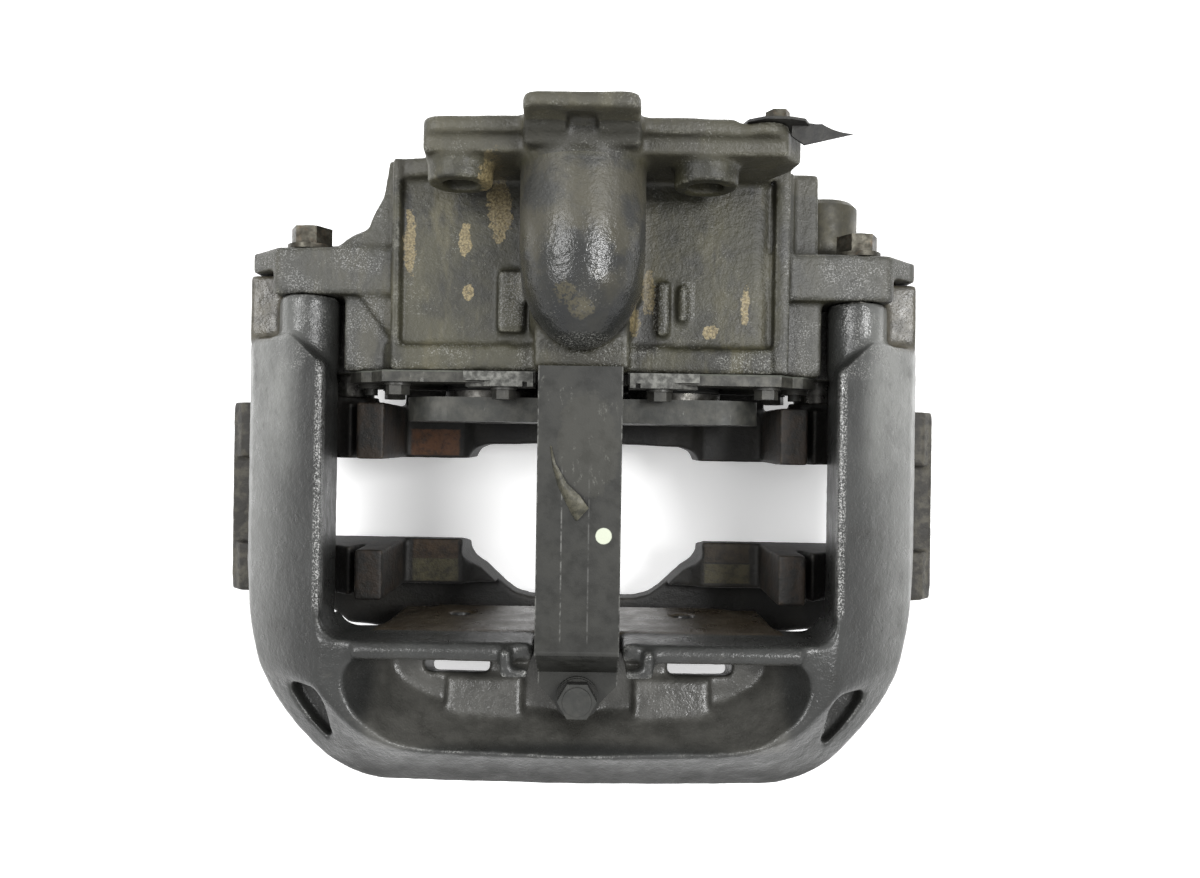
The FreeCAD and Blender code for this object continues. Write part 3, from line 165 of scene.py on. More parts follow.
class Surface:
    """A node material under construction. Its methods add nodes and return their outputs.

    x, y and z are places in metres, and aside is how far X is from the middle. A mask made by
    step() is 0 at the first of its two limits and 1 at the second, whichever is the larger.
    """

    def __init__(self, name):
        self.material = bpy.data.materials.new(name)
        self.material.use_nodes = True
        self.tree = self.material.node_tree
        self.shader = self.tree.nodes["Principled BSDF"]
        self.place = self.tree.nodes.new("ShaderNodeTexCoord").outputs["Object"]
        split = self.tree.nodes.new("ShaderNodeSeparateXYZ")
        self.link(self.place, split.inputs[0])
        self.x, self.y, self.z = split.outputs
        self.aside = self.math("ABSOLUTE", self.x)

    def link(self, value, socket):
        """Connects an output, or sets a plain value."""
        if isinstance(value, bpy.types.NodeSocket):
            self.tree.links.new(value, socket)
        elif isinstance(value, tuple) and socket.type == "RGBA":
            socket.default_value = (*value, 1)
        else:
            socket.default_value = value

    def noise(self, size, detail=4, rough=0.55, stretch=(1, 1, 1), twist=0):
        """Noise with features of about a size in millimetres, from 0 to 1."""
        mapping = self.tree.nodes.new("ShaderNodeMapping")
        self.link(self.place, mapping.inputs["Vector"])
        mapping.inputs["Scale"].default_value = stretch
        node = self.tree.nodes.new("ShaderNodeTexNoise")
        self.link(mapping.outputs["Vector"], node.inputs["Vector"])
        node.inputs["Scale"].default_value = 1 / (size * MM)
        node.inputs["Detail"].default_value = detail
        node.inputs["Roughness"].default_value = rough
        node.inputs["Distortion"].default_value = twist
        return node.outputs["Fac"]

    def step(self, value, low, high, bottom=0.0, top=1.0):
        """Maps low to high of a value onto bottom to top, clamped and smooth."""
        node = self.tree.nodes.new("ShaderNodeMapRange")
        node.interpolation_type = "SMOOTHSTEP"
        self.link(value, node.inputs["Value"])
        self.link(low, node.inputs["From Min"])
        self.link(high, node.inputs["From Max"])
        self.link(bottom, node.inputs["To Min"])
        self.link(top, node.inputs["To Max"])
        return node.outputs["Result"]

    def patches(self, low, high, *noise, **more):
        """1 where a noise is above high, 0 where it is below low."""
        return self.step(self.noise(*noise, **more), low, high)

    def math(self, operation, first, second=0.0):
        """A Math node."""
        node = self.tree.nodes.new("ShaderNodeMath")
        node.operation = operation
        self.link(first, node.inputs[0])
        self.link(second, node.inputs[1])
        return node.outputs[0]

    def times(self, *values):
        """The product of several values."""
        product = values[0]
        for value in values[1:]:
            product = self.math("MULTIPLY", product, value)
        return product

    def mix(self, factor, first, second, blend="MIX"):
        """Mixes two colours."""
        node = self.tree.nodes.new("ShaderNodeMix")
        node.data_type = "RGBA"
        node.blend_type = blend
        self.link(factor, node.inputs["Factor"])
        self.link(first, node.inputs[MIX_FIRST])
        self.link(second, node.inputs[MIX_SECOND])
        return node.outputs[MIX_RESULT]

    def blotches(self, colors, low, high, *noise, **more):
        """The first colour with blotches of the second."""
        return self.mix(self.patches(low, high, *noise, **more), *colors)

    def cover(self, color, mask, amount, tint):
        """Covers a colour with a tint where a mask is 1, by an amount from 0 to 1."""
        return self.mix(self.times(mask, amount), color, tint)

    def hollow_shade(self, reach):
        """1 deep in corners and pockets, within a reach in millimetres. Painted shade is laid
        on with it.
        """
        node = self.tree.nodes.new("ShaderNodeAmbientOcclusion")
        node.samples = OPENNESS_SAMPLES
        node.inputs["Distance"].default_value = reach * MM
        return self.step(node.outputs["AO"], *OPENNESS)

    def facing(self, axis, low=0.5, high=0.8):
        """1 where the surface faces along an axis."""
        node = self.tree.nodes.new("ShaderNodeNewGeometry")
        split = self.tree.nodes.new("ShaderNodeSeparateXYZ")
        self.link(node.outputs["Normal"], split.inputs[0])
        return self.step(split.outputs[axis], low, high)

    def within(self, place, band, soft=0.0008):
        """1 in a band of places, in metres, with soft ends."""
        low, high = band
        return self.times(
            self.step(place, low - soft, low), self.step(place, high + soft, high)
        )

    def ragged(self, size, amount):
        """A noise around 0, to make an outline ragged."""
        return self.times(self.math("SUBTRACT", self.noise(size, 5, 0.7), 0.5), amount)

    def offsets(self, centre, radii):
        """How far X and Y are from a centre, in radii. Both are given in millimetres."""
        return [
            self.math("DIVIDE", self.math("SUBTRACT", place, middle * MM), radius * MM)
            for place, middle, radius in zip((self.x, self.y), centre, radii)
        ]

    def spot(self, centre, radii, raggedness, size=4):
        """1 inside an ellipse of X and Y with a ragged outline."""
        across, along = self.offsets(centre, radii)
        reach = self.math("ADD", self.times(across, across), self.times(along, along))
        wobble = self.ragged(size, raggedness * 6)
        return self.step(self.math("ADD", reach, wobble), 1.15, 0.85)

    def block(self, centre, radii, raggedness=0.5):
        """1 inside a rectangle of X and Y with a slightly ragged outline."""
        across, along = (
            self.math("ABSOLUTE", offset) for offset in self.offsets(centre, radii)
        )
        reach = self.math("MAXIMUM", across, along)
        wobble = self.ragged(3, raggedness)
        return self.step(self.math("ADD", reach, wobble), 1.06, 0.94)

    def glints(self):
        """Small bright specks: painted glints, as of light catching the tops of a rough skin.
        """
        return self.times(
            self.patches(0.60, 0.65, 0.9, 2, 0.6), self.patches(0.48, 0.62, 16, 4, 0.6)
        )

    def worn_edges(self):
        """Outer edges rubbed bare in places."""
        node = self.tree.nodes.new("ShaderNodeNewGeometry")
        edges = self.step(node.outputs["Pointiness"], *WORN)
        stretches = self.patches(0.42, 0.60, 10, 4, 0.6)
        grains = self.patches(0.42, 0.60, 1.0, 3, 0.7)
        return self.times(edges, self.times(stretches, grains))

    def finish(self, color, rough, metal=0.0, bumps=()):
        """Sets the shader. Each bump is a height from 0 to 1 and its depth in millimetres."""
        self.link(color, self.shader.inputs["Base Color"])
        self.link(rough, self.shader.inputs["Roughness"])
        self.link(metal, self.shader.inputs["Metallic"])
        normal = None
        for height, depth in bumps:
            node = self.tree.nodes.new("ShaderNodeBump")
            node.inputs["Strength"].default_value = 1
            node.inputs["Distance"].default_value = depth * MM
            self.link(height, node.inputs["Height"])
            if normal:
                self.link(normal, node.inputs["Normal"])
            normal = node.outputs["Normal"]
        if normal:
            self.link(normal, self.shader.inputs["Normal"])
        return self.material


# Colours are linear. A pair is a ground and the blotches on it. Colours only: the masks that
# place them on the casting, and how strongly each covers, are in the function below.
BRIDGE = {
    "paint": ((0.021, 0.0215, 0.0205), (0.033, 0.034, 0.0325)),
    # Painted highlight: the paler colour of the arm's outer slopes.
    "arms": (0.160, 0.163, 0.154),
    # Painted shade: the darker colour of the front rim.
    "front_rim_shade": (0.0125, 0.0125, 0.0110),
    "stains": (0.018, 0.017, 0.014),
    "dust": (0.058, 0.057, 0.050),
    # Painted light: the lightened colours of the recess at the front.
    "lit_bowl": ((0.048, 0.047, 0.042), (0.080, 0.078, 0.070)),
    # Painted shade for corners and pockets.
    "hollow_shade": (0.010, 0.0097, 0.008),
    "pad rest": ((0.034, 0.024, 0.014), (0.062, 0.050, 0.034)),
    "lugs": ((0.030, 0.026, 0.017), (0.066, 0.058, 0.040)),
    # Painted glints on upward faces.
    "shoulder_glints": (0.24, 0.24, 0.23),
    "edges": (0.27, 0.27, 0.255),
    # Painted highlight along the window's inner edges.
    "window_rim_highlight": (0.36, 0.36, 0.35),
    "glints": (0.16, 0.16, 0.15),
}
# Bands of Y on the bridge, and of X for the pad's rest, in metres.
ARM_SHELF = (0.020, 0.064)
BOWL = (-0.142, -0.098)
REST_FACE = (-0.0890, -0.080)
REST_WIDTH = (-0.109, 0.109)
SHOULDER = (0.050, 0.100)
WINDOW_RIM = (-0.070, 0.065)


def bridge_casting():
    """Grey paint on a rough casting, bright where edges are worn, with painted highlights,
    glints, light and shade.
    """
    s = Surface("bridge_paint")
    color = s.blotches(BRIDGE["paint"], 0.35, 0.7, 60, 3)

    # Painted highlight: each arm turns paler towards its outer slope and its inboard end, and a
    # band below the step is paler in patches, as where they catch the light.
    arms = s.times(s.step(s.aside, 0.140, 0.184), s.step(s.y, -0.13, 0.02, 0.45, 0.85))
    shelf_highlight = s.times(
        s.within(s.y, ARM_SHELF, 0.050),
        s.step(s.noise(26, 5, 0.7), 0.30, 0.62, 0.6, 1.0),
        s.step(s.aside, 0.140, 0.160),
    )
    color = s.cover(color, s.math("MAXIMUM", arms, shelf_highlight), 0.95, BRIDGE["arms"])
    # Painted shade: the rim along the front is darkened.
    shaded_rim = s.step(s.y, -0.150, -0.164)
    color = s.cover(color, shaded_rim, 0.75, BRIDGE["front_rim_shade"])
    color = s.cover(color, s.patches(0.54, 0.70, 18, 6, 0.65), 0.45, BRIDGE["stains"])
    color = s.cover(color, s.patches(0.58, 0.72, 11, 6, 0.7), 0.35, BRIDGE["dust"])

    # Painted light: the recess is lightened in blotches, against the shade that falls in it.
    lit_bowl = s.times(
        s.within(s.y, BOWL, 0.004), s.step(s.z, 0.178, 0.172), s.step(s.aside, 0.112, 0.104)
    )
    bowl_light = s.blotches(BRIDGE["lit_bowl"], 0.35, 0.65, 24, 5, 0.7)
    color = s.cover(color, lit_bowl, 0.85, bowl_light)
    # Painted shade: corners and pockets darkened.
    color = s.cover(color, s.hollow_shade(14), 0.40, BRIDGE["hollow_shade"])

    rest = s.times(
        s.times(s.within(s.y, REST_FACE), s.facing("Y")),
        s.times(s.within(s.x, REST_WIDTH), s.step(s.z, 0.1512, 0.1500)),
    )
    rust = s.blotches(BRIDGE["pad rest"], 0.4, 0.66, 14, 6, 0.7)
    color = s.cover(color, rest, 0.9, rust)
    lugs = s.times(s.step(s.y, 0.064, 0.068), s.step(s.aside, 0.164, 0.167))
    lug_dust = s.blotches(BRIDGE["lugs"], 0.4, 0.6, 8, 6, 0.7)
    color = s.cover(color, lugs, 0.9, lug_dust)

    # Painted glints: bright specks on upward faces near the root of each arm.
    shoulder_glints = s.times(
        s.within(s.y, SHOULDER, 0.004), s.facing("Z"), s.step(s.aside, 0.166, 0.162)
    )
    glint_specks = s.times(s.patches(0.54, 0.62, 0.8, 3, 0.7), s.patches(0.44, 0.58, 14, 4))
    color = s.cover(color, s.times(shoulder_glints, glint_specks), 0.8, BRIDGE["shoulder_glints"])
    color = s.cover(color, s.worn_edges(), 0.8, BRIDGE["edges"])
    # Painted highlight: thin bright speckled lines along the window's inner edges.
    rim = s.times(
        s.step(s.aside, 0.1362, 0.1345),
        s.within(s.y, WINDOW_RIM, 0.006),
        s.step(s.z, 0.160, 0.166),
        s.patches(0.50, 0.60, 0.9, 3, 0.7),
    )
    color = s.cover(color, rim, 0.85, BRIDGE["window_rim_highlight"])
    # Painted glints: small bright specks.
    color = s.cover(color, s.glints(), 0.25, BRIDGE["glints"])

    rough = s.step(s.noise(12, 5), 0.3, 0.7, 0.26, 0.42)
    rough = s.math("ADD", rough, s.times(shaded_rim, 0.30))
    return s.finish(color, rough, 0.0, [(s.noise(2.6, 2, 0.5), 0.26), (s.noise(1.2, 2), 0.20)])


HOUSING = {
    "paint": ((0.0150, 0.0148, 0.0098), (0.0430, 0.0405, 0.0235)),
    "streaks": (0.066, 0.060, 0.034),
    "shade": (0.62, 0.62, 0.52),
    "scuffs": (0.105, 0.098, 0.070),
    "soot": (0.013, 0.013, 0.012),
    "sand": ((0.115, 0.088, 0.040), (0.28, 0.225, 0.115)),
    "dome": ((0.050, 0.046, 0.032), (0.019, 0.020, 0.020)),
    "dome front": (0.016, 0.017, 0.018),
    "dabs": (0.085, 0.074, 0.042),
    "ears": (0.040, 0.040, 0.036),
    # Painted glints on the ears' upward faces.
    "ear glints": (0.26, 0.26, 0.25),
    "flange": (0.060, 0.056, 0.040),
    # Painted shade under the flange's lip.
    "setback_shade": (0.016, 0.0155, 0.012),
    # Painted shade for corners and pockets.
    "hollow_shade": (0.008, 0.0075, 0.0055),
    "edges": (0.25, 0.245, 0.205),
    "glints": (0.20, 0.20, 0.18),
    # Painted glints along the roof's front step.
    "ledge": (0.26, 0.26, 0.24),
    "pads": (0.25, 0.25, 0.24),
}
# Patches on the housing: the middle and the radii of each, in millimetres.
SANDY = [
    ((-91, 117), (3.0, 16)),
    ((-62, 118), (3, 9)),
    ((-44, 135), (6, 17)),
    ((-60, 91), (2.6, 4)),
    ((34, 92), (3.5, 11)),
    ((27, 76), (3, 7)),
    ((85, 87), (2.5, 9)),
    ((67, 72), (4, 3.5)),
]
DABS = [((-7, 84), (5, 6)), ((0, 77), (6, 5))]
SCRAPED_PADS = [((-37, 87), (7, 14)), ((41, 84), (4, 13)), ((55, 88), (3.5, 10))]
# Bands of X and Y on the housing, in metres.
DOME_WIDTH = (-0.032, 0.032)
SETBACK_WIDTH = (-0.028, 0.028)
SETBACK_DEPTH = (0.147, 0.1580)
LEDGE = (0.052, 0.064)
# Roughness of the housing and the dusty back of its dome, and of the rest of the dome.
HOUSING_ROUGH = (0.50, 0.50, 0.50)
DOME_ROUGH = (0.25, 0.25, 0.25)


def housing_casting():
    """Dark grey paint under olive dirt, with sandy patches where it has flaked."""
    s = Surface("housing_paint")
    color = s.blotches(HOUSING["paint"], 0.36, 0.60, 38, 6, 0.6, twist=0.4)
    streaks = s.patches(0.50, 0.66, 15, 6, 0.62, stretch=(1, 0.28, 1))
    color = s.mix(streaks, color, HOUSING["streaks"])
    color = s.mix(s.step(s.x, 0.020, 0.060), color, HOUSING["shade"], "MULTIPLY")
    scuffs = s.times(s.patches(0.58, 0.66, 4, 6, 0.75), s.patches(0.45, 0.60, 25, 4))
    color = s.cover(color, scuffs, 0.6, HOUSING["scuffs"])
    soot = s.patches(0.54, 0.66, 22, 5, 0.6, stretch=(1, 0.4, 1))
    color = s.cover(color, soot, 0.8, HOUSING["soot"])

    flakes = s.patches(0.30, 0.46, 1.8, 5, 0.75)
    sand = s.blotches(HOUSING["sand"], 0.4, 0.6, 1.2, 4, 0.7)
    for centre, radii in SANDY:
        patch = s.times(s.spot(centre, radii, 0.75, 5), flakes)
        color = s.cover(color, patch, 0.8, sand)

    dome = s.times(
        s.step(s.z, 0.172, 0.186), s.step(s.y, 0.149, 0.143), s.within(s.x, DOME_WIDTH, 0.003)
    )
    cap = s.blotches(HOUSING["dome"], 0.4, 0.60, 26, 5, 0.6)
    cap = s.mix(s.step(s.y, 0.095, 0.075), cap, HOUSING["dome front"])
    color = s.cover(color, dome, 0.85, cap)
    dab_grain = s.patches(0.34, 0.54, 3, 5, 0.7)
    for centre, radii in DABS:
        dab = s.times(s.spot(centre, radii, 1.0, 6), dab_grain)
        color = s.cover(color, dab, 0.6, HOUSING["dabs"])

    ears = s.times(s.step(s.aside, 0.102, 0.108), s.facing("Z", 0.3, 0.7))
    color = s.cover(color, ears, 0.6, HOUSING["ears"])
    # Painted glints: bright specks on the ears' upward faces.
    glint_specks = s.times(s.patches(0.53, 0.62, 0.8, 3, 0.7), s.patches(0.42, 0.58, 22, 4))
    color = s.cover(color, s.times(ears, glint_specks), 0.75, HOUSING["ear glints"])
    color = s.cover(color, s.step(s.y, 0.1475, 0.150), 0.55, HOUSING["flange"])
    # Painted shade: the concave face under the flange's lip is darkened.
    setback_shade = s.times(
        s.within(s.x, SETBACK_WIDTH, 0.002),
        s.within(s.y, SETBACK_DEPTH, 0.0005),
        s.step(s.z, 0.206, 0.212),
    )
    color = s.cover(color, setback_shade, 0.75, HOUSING["setback_shade"])
    # Painted shade: corners and pockets darkened.
    color = s.cover(color, s.hollow_shade(14), 0.75, HOUSING["hollow_shade"])
    color = s.cover(color, s.worn_edges(), 0.75, HOUSING["edges"])
    # Painted glints: small bright specks.
    color = s.cover(color, s.glints(), 0.4, HOUSING["glints"])

    # Painted glints: bright specks along the roof's front step.
    ledge = s.times(
        s.within(s.y, LEDGE, 0.003),
        s.step(s.z, 0.158, 0.161),
        s.patches(0.54, 0.62, 0.8, 4, 0.7),
        s.patches(0.46, 0.58, 18, 4, 0.6, stretch=(0.5, 1, 1)),
    )
    color = s.cover(color, ledge, 0.7, HOUSING["ledge"])
    for centre, radii in SCRAPED_PADS:
        pad = s.times(s.block(centre, radii), s.patches(0.50, 0.60, 0.8, 4, 0.7))
        color = s.cover(color, pad, 0.55, HOUSING["pads"])

    uneven_y = s.math("ADD", s.y, s.times(s.noise(14, 4), 0.03))
    dome_rough = s.mix(s.step(uneven_y, 0.118, 0.138), DOME_ROUGH, HOUSING_ROUGH)
    rough = s.mix(dome, HOUSING_ROUGH, dome_rough)
    return s.finish(color, rough, 0.0, [(s.noise(2.8, 3, 0.6), 0.42), (s.noise(1.2, 2), 0.17)])


CARRIER = {
    "iron": ((0.0045, 0.0042, 0.0036), (0.012, 0.0108, 0.008)),
    "horns": ((0.0055, 0.0046, 0.0034), (0.019, 0.0110, 0.0055)),
    "dust": ((0.018, 0.016, 0.012), (0.066, 0.060, 0.044)),
    # Painted shade for corners and pockets.
    "hollow_shade": (0.004, 0.0035, 0.003),
    "edges": (0.10, 0.085, 0.065),
}
# Rubbed patches on the carrier: the middle and radii in millimetres, and the colour.
RUBBED = [
    ((-92, 12), (15, 8), (0.105, 0.041, 0.014)),
    ((-91, -54), (14, 6), (0.050, 0.030, 0.015)),
    ((-91, -67), (14, 7), (0.066, 0.058, 0.030)),
    ((90, -54), (14, 6), (0.036, 0.026, 0.015)),
    ((90, -67), (14, 6), (0.060, 0.052, 0.027)),
]
# Bands of Z on the carrier, in metres.
RAIL_TOPS = (0.070, 0.076)
HORN_FLANKS = (0.080, 0.135)


def carrier_casting():
    """Nearly black, with rust where the pads rub and pale dust outside."""
    s = Surface("carrier_iron")
    color = s.blotches(CARRIER["iron"], 0.4, 0.65, 30, 5, 0.6)
    rails = s.times(s.facing("Z"), s.within(s.z, RAIL_TOPS))
    grain = s.step(s.noise(6, 6, 0.8), 0.34, 0.60, 0.25, 1.0)
    for centre, radii, tint in RUBBED:
        color = s.mix(s.times(s.block(centre, radii, 0.3), rails, grain), color, tint)
    horns = s.times(s.within(s.z, HORN_FLANKS, 0.004), s.step(s.aside, 0.127, 0.125))
    brown = s.blotches(CARRIER["horns"], 0.42, 0.6, 10, 5, 0.7)
    color = s.cover(color, horns, 0.8, brown)
    dust = s.blotches(CARRIER["dust"], 0.45, 0.62, 9, 6, 0.7)
    color = s.cover(color, s.step(s.aside, 0.182, 0.190), 0.9, dust)
    # Painted shade: corners and pockets darkened.
    color = s.cover(color, s.hollow_shade(12), 0.6, CARRIER["hollow_shade"])
    color = s.cover(color, s.worn_edges(), 0.4, CARRIER["edges"])
    return s.finish(color, 0.60, 0.0, [(s.noise(2.6, 3, 0.6), 0.45), (s.noise(1.0, 2), 0.18)])


STEEL_SCUFF = (0.24, 0.24, 0.22)
# Painted shade for the corners and pockets of steel, metal and rubber.
STEEL_HOLLOW_SHADE = (0.016, 0.015, 0.013)
RUST = (0.14, 0.070, 0.030)
METAL_HOLLOW_SHADE = (0.020, 0.018, 0.014)
RUBBER_HOLLOW_SHADE = (0.012, 0.012, 0.011)


def painted_steel(name, base, light, size):
    """Thin paint on pressed steel, scuffed in patches."""
    s = Surface(name)
    color = s.blotches((base, light), 0.35, 0.7, size, 6, 0.65)
    scuffs = s.patches(0.62, 0.70, 5, 6, 0.75, stretch=(1, 0.3, 1))
    color = s.cover(color, scuffs, 0.35, STEEL_SCUFF)
    # Painted shade: corners and pockets darkened.
    color = s.cover(color, s.hollow_shade(8), 0.6, STEEL_HOLLOW_SHADE)
    rough = s.step(s.noise(8, 5), 0.3, 0.7, 0.42, 0.62)
    return s.finish(color, rough, 0.2, [(s.noise(1.4, 3), 0.08)])


def bare_steel(name, base, dark, rough, rust=0.0):
    """Metal, darkened by painted shade in its corners and pockets, and, where asked for, rust.
    """
    s = Surface(name)
    color = s.blotches((dark, base), 0.35, 0.68, 5, 5, 0.6)
    if rust:
        color = s.cover(color, s.patches(0.50, 0.64, 7, 6, 0.7), rust, RUST)
    # Painted shade: corners and pockets darkened.
    color = s.cover(color, s.hollow_shade(5), 0.7, METAL_HOLLOW_SHADE)
    sheen = s.step(s.noise(4, 4), 0.3, 0.7, rough - 0.08, rough + 0.14)
    return s.finish(color, sheen, 0.75, [(s.noise(1.0, 3), 0.05)])


def dull_stuff(name, base, light, rough=0.75):
    """Rubber, plastic or fibre, with dust on it."""
    s = Surface(name)
    color = s.blotches((base, light), 0.40, 0.72, 6, 6, 0.65)
    # Painted shade: corners and pockets darkened.
    color = s.cover(color, s.hollow_shade(6), 0.5, RUBBER_HOLLOW_SHADE)
    return s.finish(color, rough, 0.0, [(s.noise(1.2, 4), 0.08)])


STRAP = {
    "paint": ((0.0085, 0.0087, 0.0068), (0.0175, 0.0175, 0.0140)),
    "gum": (0.036, 0.035, 0.027),
    "scuffs": (0.13, 0.13, 0.115),
    "dot": (0.47, 0.50, 0.40),
    "hollow_shade": (0.008, 0.008, 0.007),
    "edges": (0.10, 0.10, 0.092),
}
# Creases along the strap: the place on X in metres, and the colour.
CREASES = [(-0.0085, (0.10, 0.10, 0.10 * 0.93)), (0.0050, (0.055, 0.055, 0.055 * 0.93))]
CREASE_LENGTH = (-0.082, -0.002)
# Patches on the strap: the middle and the radii of each, in millimetres.
GUM = ((4, 12), (15, 26))
SCUFFED = [((-16, 38), (5, 9)), ((-6, 34), (6, 9)), ((2, 0), (12, 16)), ((14, 30), (6, 8))]
PAINT_DOT = ((12.5, -32.5), (4, 4))


def strap_steel():
    """Thin paint on spring steel with scuffs, two creases, a label's gum and a paint dot."""
    s = Surface("strap_paint")
    color = s.blotches(STRAP["paint"], 0.35, 0.7, 16, 6, 0.65)
    for middle, tint in CREASES:
        near = s.math("ABSOLUTE", s.math("SUBTRACT", s.x, middle))
        crease = s.times(s.step(near, 0.0005, 0.0002), s.patches(0.40, 0.56, 7, 5, 0.7))
        color = s.mix(s.times(crease, s.within(s.y, CREASE_LENGTH, 0.005)), color, tint)
    color = s.cover(color, s.spot(*GUM, 0.3, 9), 0.45, STRAP["gum"])

    places = None
    for centre, radii in SCUFFED:
        place = s.spot(centre, radii, 0.5)
        places = s.math("MAXIMUM", places, place) if places else place
    scuffs = s.patches(0.56, 0.66, 3.5, 6, 0.8, stretch=(1, 0.4, 1))
    color = s.mix(s.times(scuffs, s.times(places, 0.55)), color, STRAP["scuffs"])
    color = s.mix(s.spot(*PAINT_DOT, 0.02, 3), color, STRAP["dot"])
    # Painted shade: corners and pockets darkened.
    color = s.cover(color, s.hollow_shade(8), 0.6, STRAP["hollow_shade"])
    edges = s.times(s.step(s.aside, 0.0201, 0.0209), s.patches(0.44, 0.6, 5, 5, 0.7))
    color = s.mix(edges, color, STRAP["edges"])
    rough = s.step(s.noise(8, 5), 0.3, 0.7, 0.38, 0.58)
    return s.finish(color, rough, 0.0, [(s.noise(1.2, 3), 0.06)])


MATERIALS = {
    "bridge_casting": bridge_casting(),
    "housing_casting": housing_casting(),
    "carrier_casting": carrier_casting(),
    "strap_steel": strap_steel(),
    "cover_steel": painted_steel(
        "cover_paint", (0.018, 0.018, 0.015), (0.060, 0.058, 0.048), 7
    ),
    "cap_steel": painted_steel("cap_paint", (0.028, 0.026, 0.016), (0.060, 0.054, 0.032), 9),
    "leaf_steel": painted_steel("leaf_paint", (0.008, 0.008, 0.008), (0.026, 0.025, 0.021), 9),
    "fastener_steel": bare_steel(
        "bolt_steel", (0.085, 0.080, 0.064), (0.030, 0.027, 0.020), 0.45, 0.2
    ),
    "ground_steel": bare_steel(
        "ground_steel", (0.16, 0.155, 0.145), (0.05, 0.048, 0.042), 0.34
    ),
    "forged_steel": bare_steel(
        "forged_steel", (0.16, 0.155, 0.14), (0.07, 0.065, 0.055), 0.48, 0.15
    ),
    "gear_steel": bare_steel("gear_steel", (0.36, 0.34, 0.29), (0.17, 0.15, 0.11), 0.32),
    "spring_steel": bare_steel("spring_steel", (0.26, 0.26, 0.27), (0.10, 0.10, 0.10), 0.30),
    "bronze": bare_steel("bush_bronze", (0.55, 0.38, 0.17), (0.33, 0.20, 0.08), 0.34),
    "black_rubber": dull_stuff("boot_rubber", (0.012, 0.012, 0.011), (0.035, 0.034, 0.030)),
    "fibre": dull_stuff("gasket_fibre", (0.050, 0.053, 0.043), (0.085, 0.088, 0.072)),
    "plastic": dull_stuff("cap_plastic", (0.015, 0.015, 0.016), (0.040, 0.040, 0.038), 0.5),
}
# Pieces painted or coated otherwise than the rest of their slot.
dusty_bolt = painted_steel("dusty_bolt", (0.026, 0.026, 0.023), (0.056, 0.054, 0.046), 6)
strap_bolt = painted_steel("strap_bolt", (0.022, 0.023, 0.021), (0.036, 0.036, 0.032), 6)
plate_iron = painted_steel("plate_iron", (0.024, 0.025, 0.022), (0.054, 0.053, 0.045), 9)
scuffed_clip = painted_steel("scuffed_clip", (0.030, 0.030, 0.026), (0.17, 0.17, 0.155), 4)
bright_washer = bare_steel("bright_washer", (0.62, 0.62, 0.60), (0.40, 0.40, 0.38), 0.25)
SPECIAL = {
    "retainer_bolt": strap_bolt,
    "retainer_washer": strap_bolt,
    "cover_bolts": dusty_bolt,
    "cover_brackets": scuffed_clip,
    "stub_pins": dusty_bolt,
    "thrust_plate": plate_iron,
    "leaf_washer": bright_washer,
}


# ------------------------------------------------------------------ castings

# The size of the voxels that a casting is rebuilt from, in millimetres.
VOXEL = 1.3
SMOOTHING_FACTOR = 0.5
# Rounds of smoothing for each casting. More rounds make its edges rounder.
SMOOTHING = {"bridge": 26, "housing": 14, "carrier": 8}
# Size and depth of the unevenness of a casting's skin, in millimetres.
WAVES = (34, 0.35)
SKIN = (5, 0.14)


def shade_smooth(mesh):
    """Smooths the shading over a mesh's faces."""
    for face in mesh.polygons:
        face.use_smooth = True


def apply_modifiers(obj):
    """Puts an object's modifiers into its mesh."""
    depsgraph = bpy.context.evaluated_depsgraph_get()
    mesh = bpy.data.meshes.new_from_object(obj.evaluated_get(depsgraph))
    obj.modifiers.clear()
    obj.data = mesh


def roughen(obj, name, size, depth):
    """Moves a surface in and out by noise, with features of a size and depth in millimetres."""
    texture = bpy.data.textures.new(name, "CLOUDS")
    texture.noise_scale = size * MM
    texture.noise_depth = 2
    modifier = obj.modifiers.new(name, "DISPLACE")
    modifier.texture = texture
    modifier.texture_coords = "LOCAL"
    # The texture goes from 0 to 1, so its middle is 0.5 and its swing is half the strength.
    modifier.strength = 2 * depth * MM
    modifier.mid_level = 0.5


def keep_in_box(mesh):
    """Moves what sticks out of the CAD's box back onto its faces."""
    low, high = cad_box
    for vertex in mesh.vertices:
        for axis in range(3):
            vertex.co[axis] = min(max(vertex.co[axis], low[axis]), high[axis])


def casting(node, rounds):
    """A cast version of a CAD node: its edges are rounded and its skin is uneven."""
    piece = add_object(f"{node}_cast", NODES[node].data.copy())
    piece.data.materials.clear()
    remesh = piece.modifiers.new("remesh", "REMESH")
    remesh.mode = "VOXEL"
    remesh.voxel_size = VOXEL * MM
    smooth = piece.modifiers.new("smooth", "SMOOTH")
    smooth.factor = SMOOTHING_FACTOR
    smooth.iterations = rounds
    roughen(piece, f"{node}_waves", *WAVES)
    roughen(piece, f"{node}_skin", *SKIN)
    apply_modifiers(piece)
    keep_in_box(piece.data)
    shade_smooth(piece.data)
    piece.data.materials.append(MATERIALS[SLOT_OF[node]])
    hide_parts(node)
    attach(piece, BODY_OF[node])


for node, obj in NODES.items():
    material = SPECIAL.get(node, MATERIALS[SLOT_OF[node]])
    for slot in obj.material_slots:
        slot.material = material

for node, rounds in SMOOTHING.items():
    casting(node, rounds)


# ------------------------------------------------------------------ boots and spring

BOOT_FOLDS = 3
BOOT_STEPS = 48
BOOT_SIDES = 72
# The pleats' middle line lies this far inside the boot's box. They swing this far to each
# side of it, and the wall is this thick. All in millimetres.
BOOT_INSET = 1.5
BOOT_PLEAT = 1.3
BOOT_WALL = 0.8
# The pleats' height follows half a sine wave along the boot, shortened by this factor.
BOOT_GROWTH = 1.4


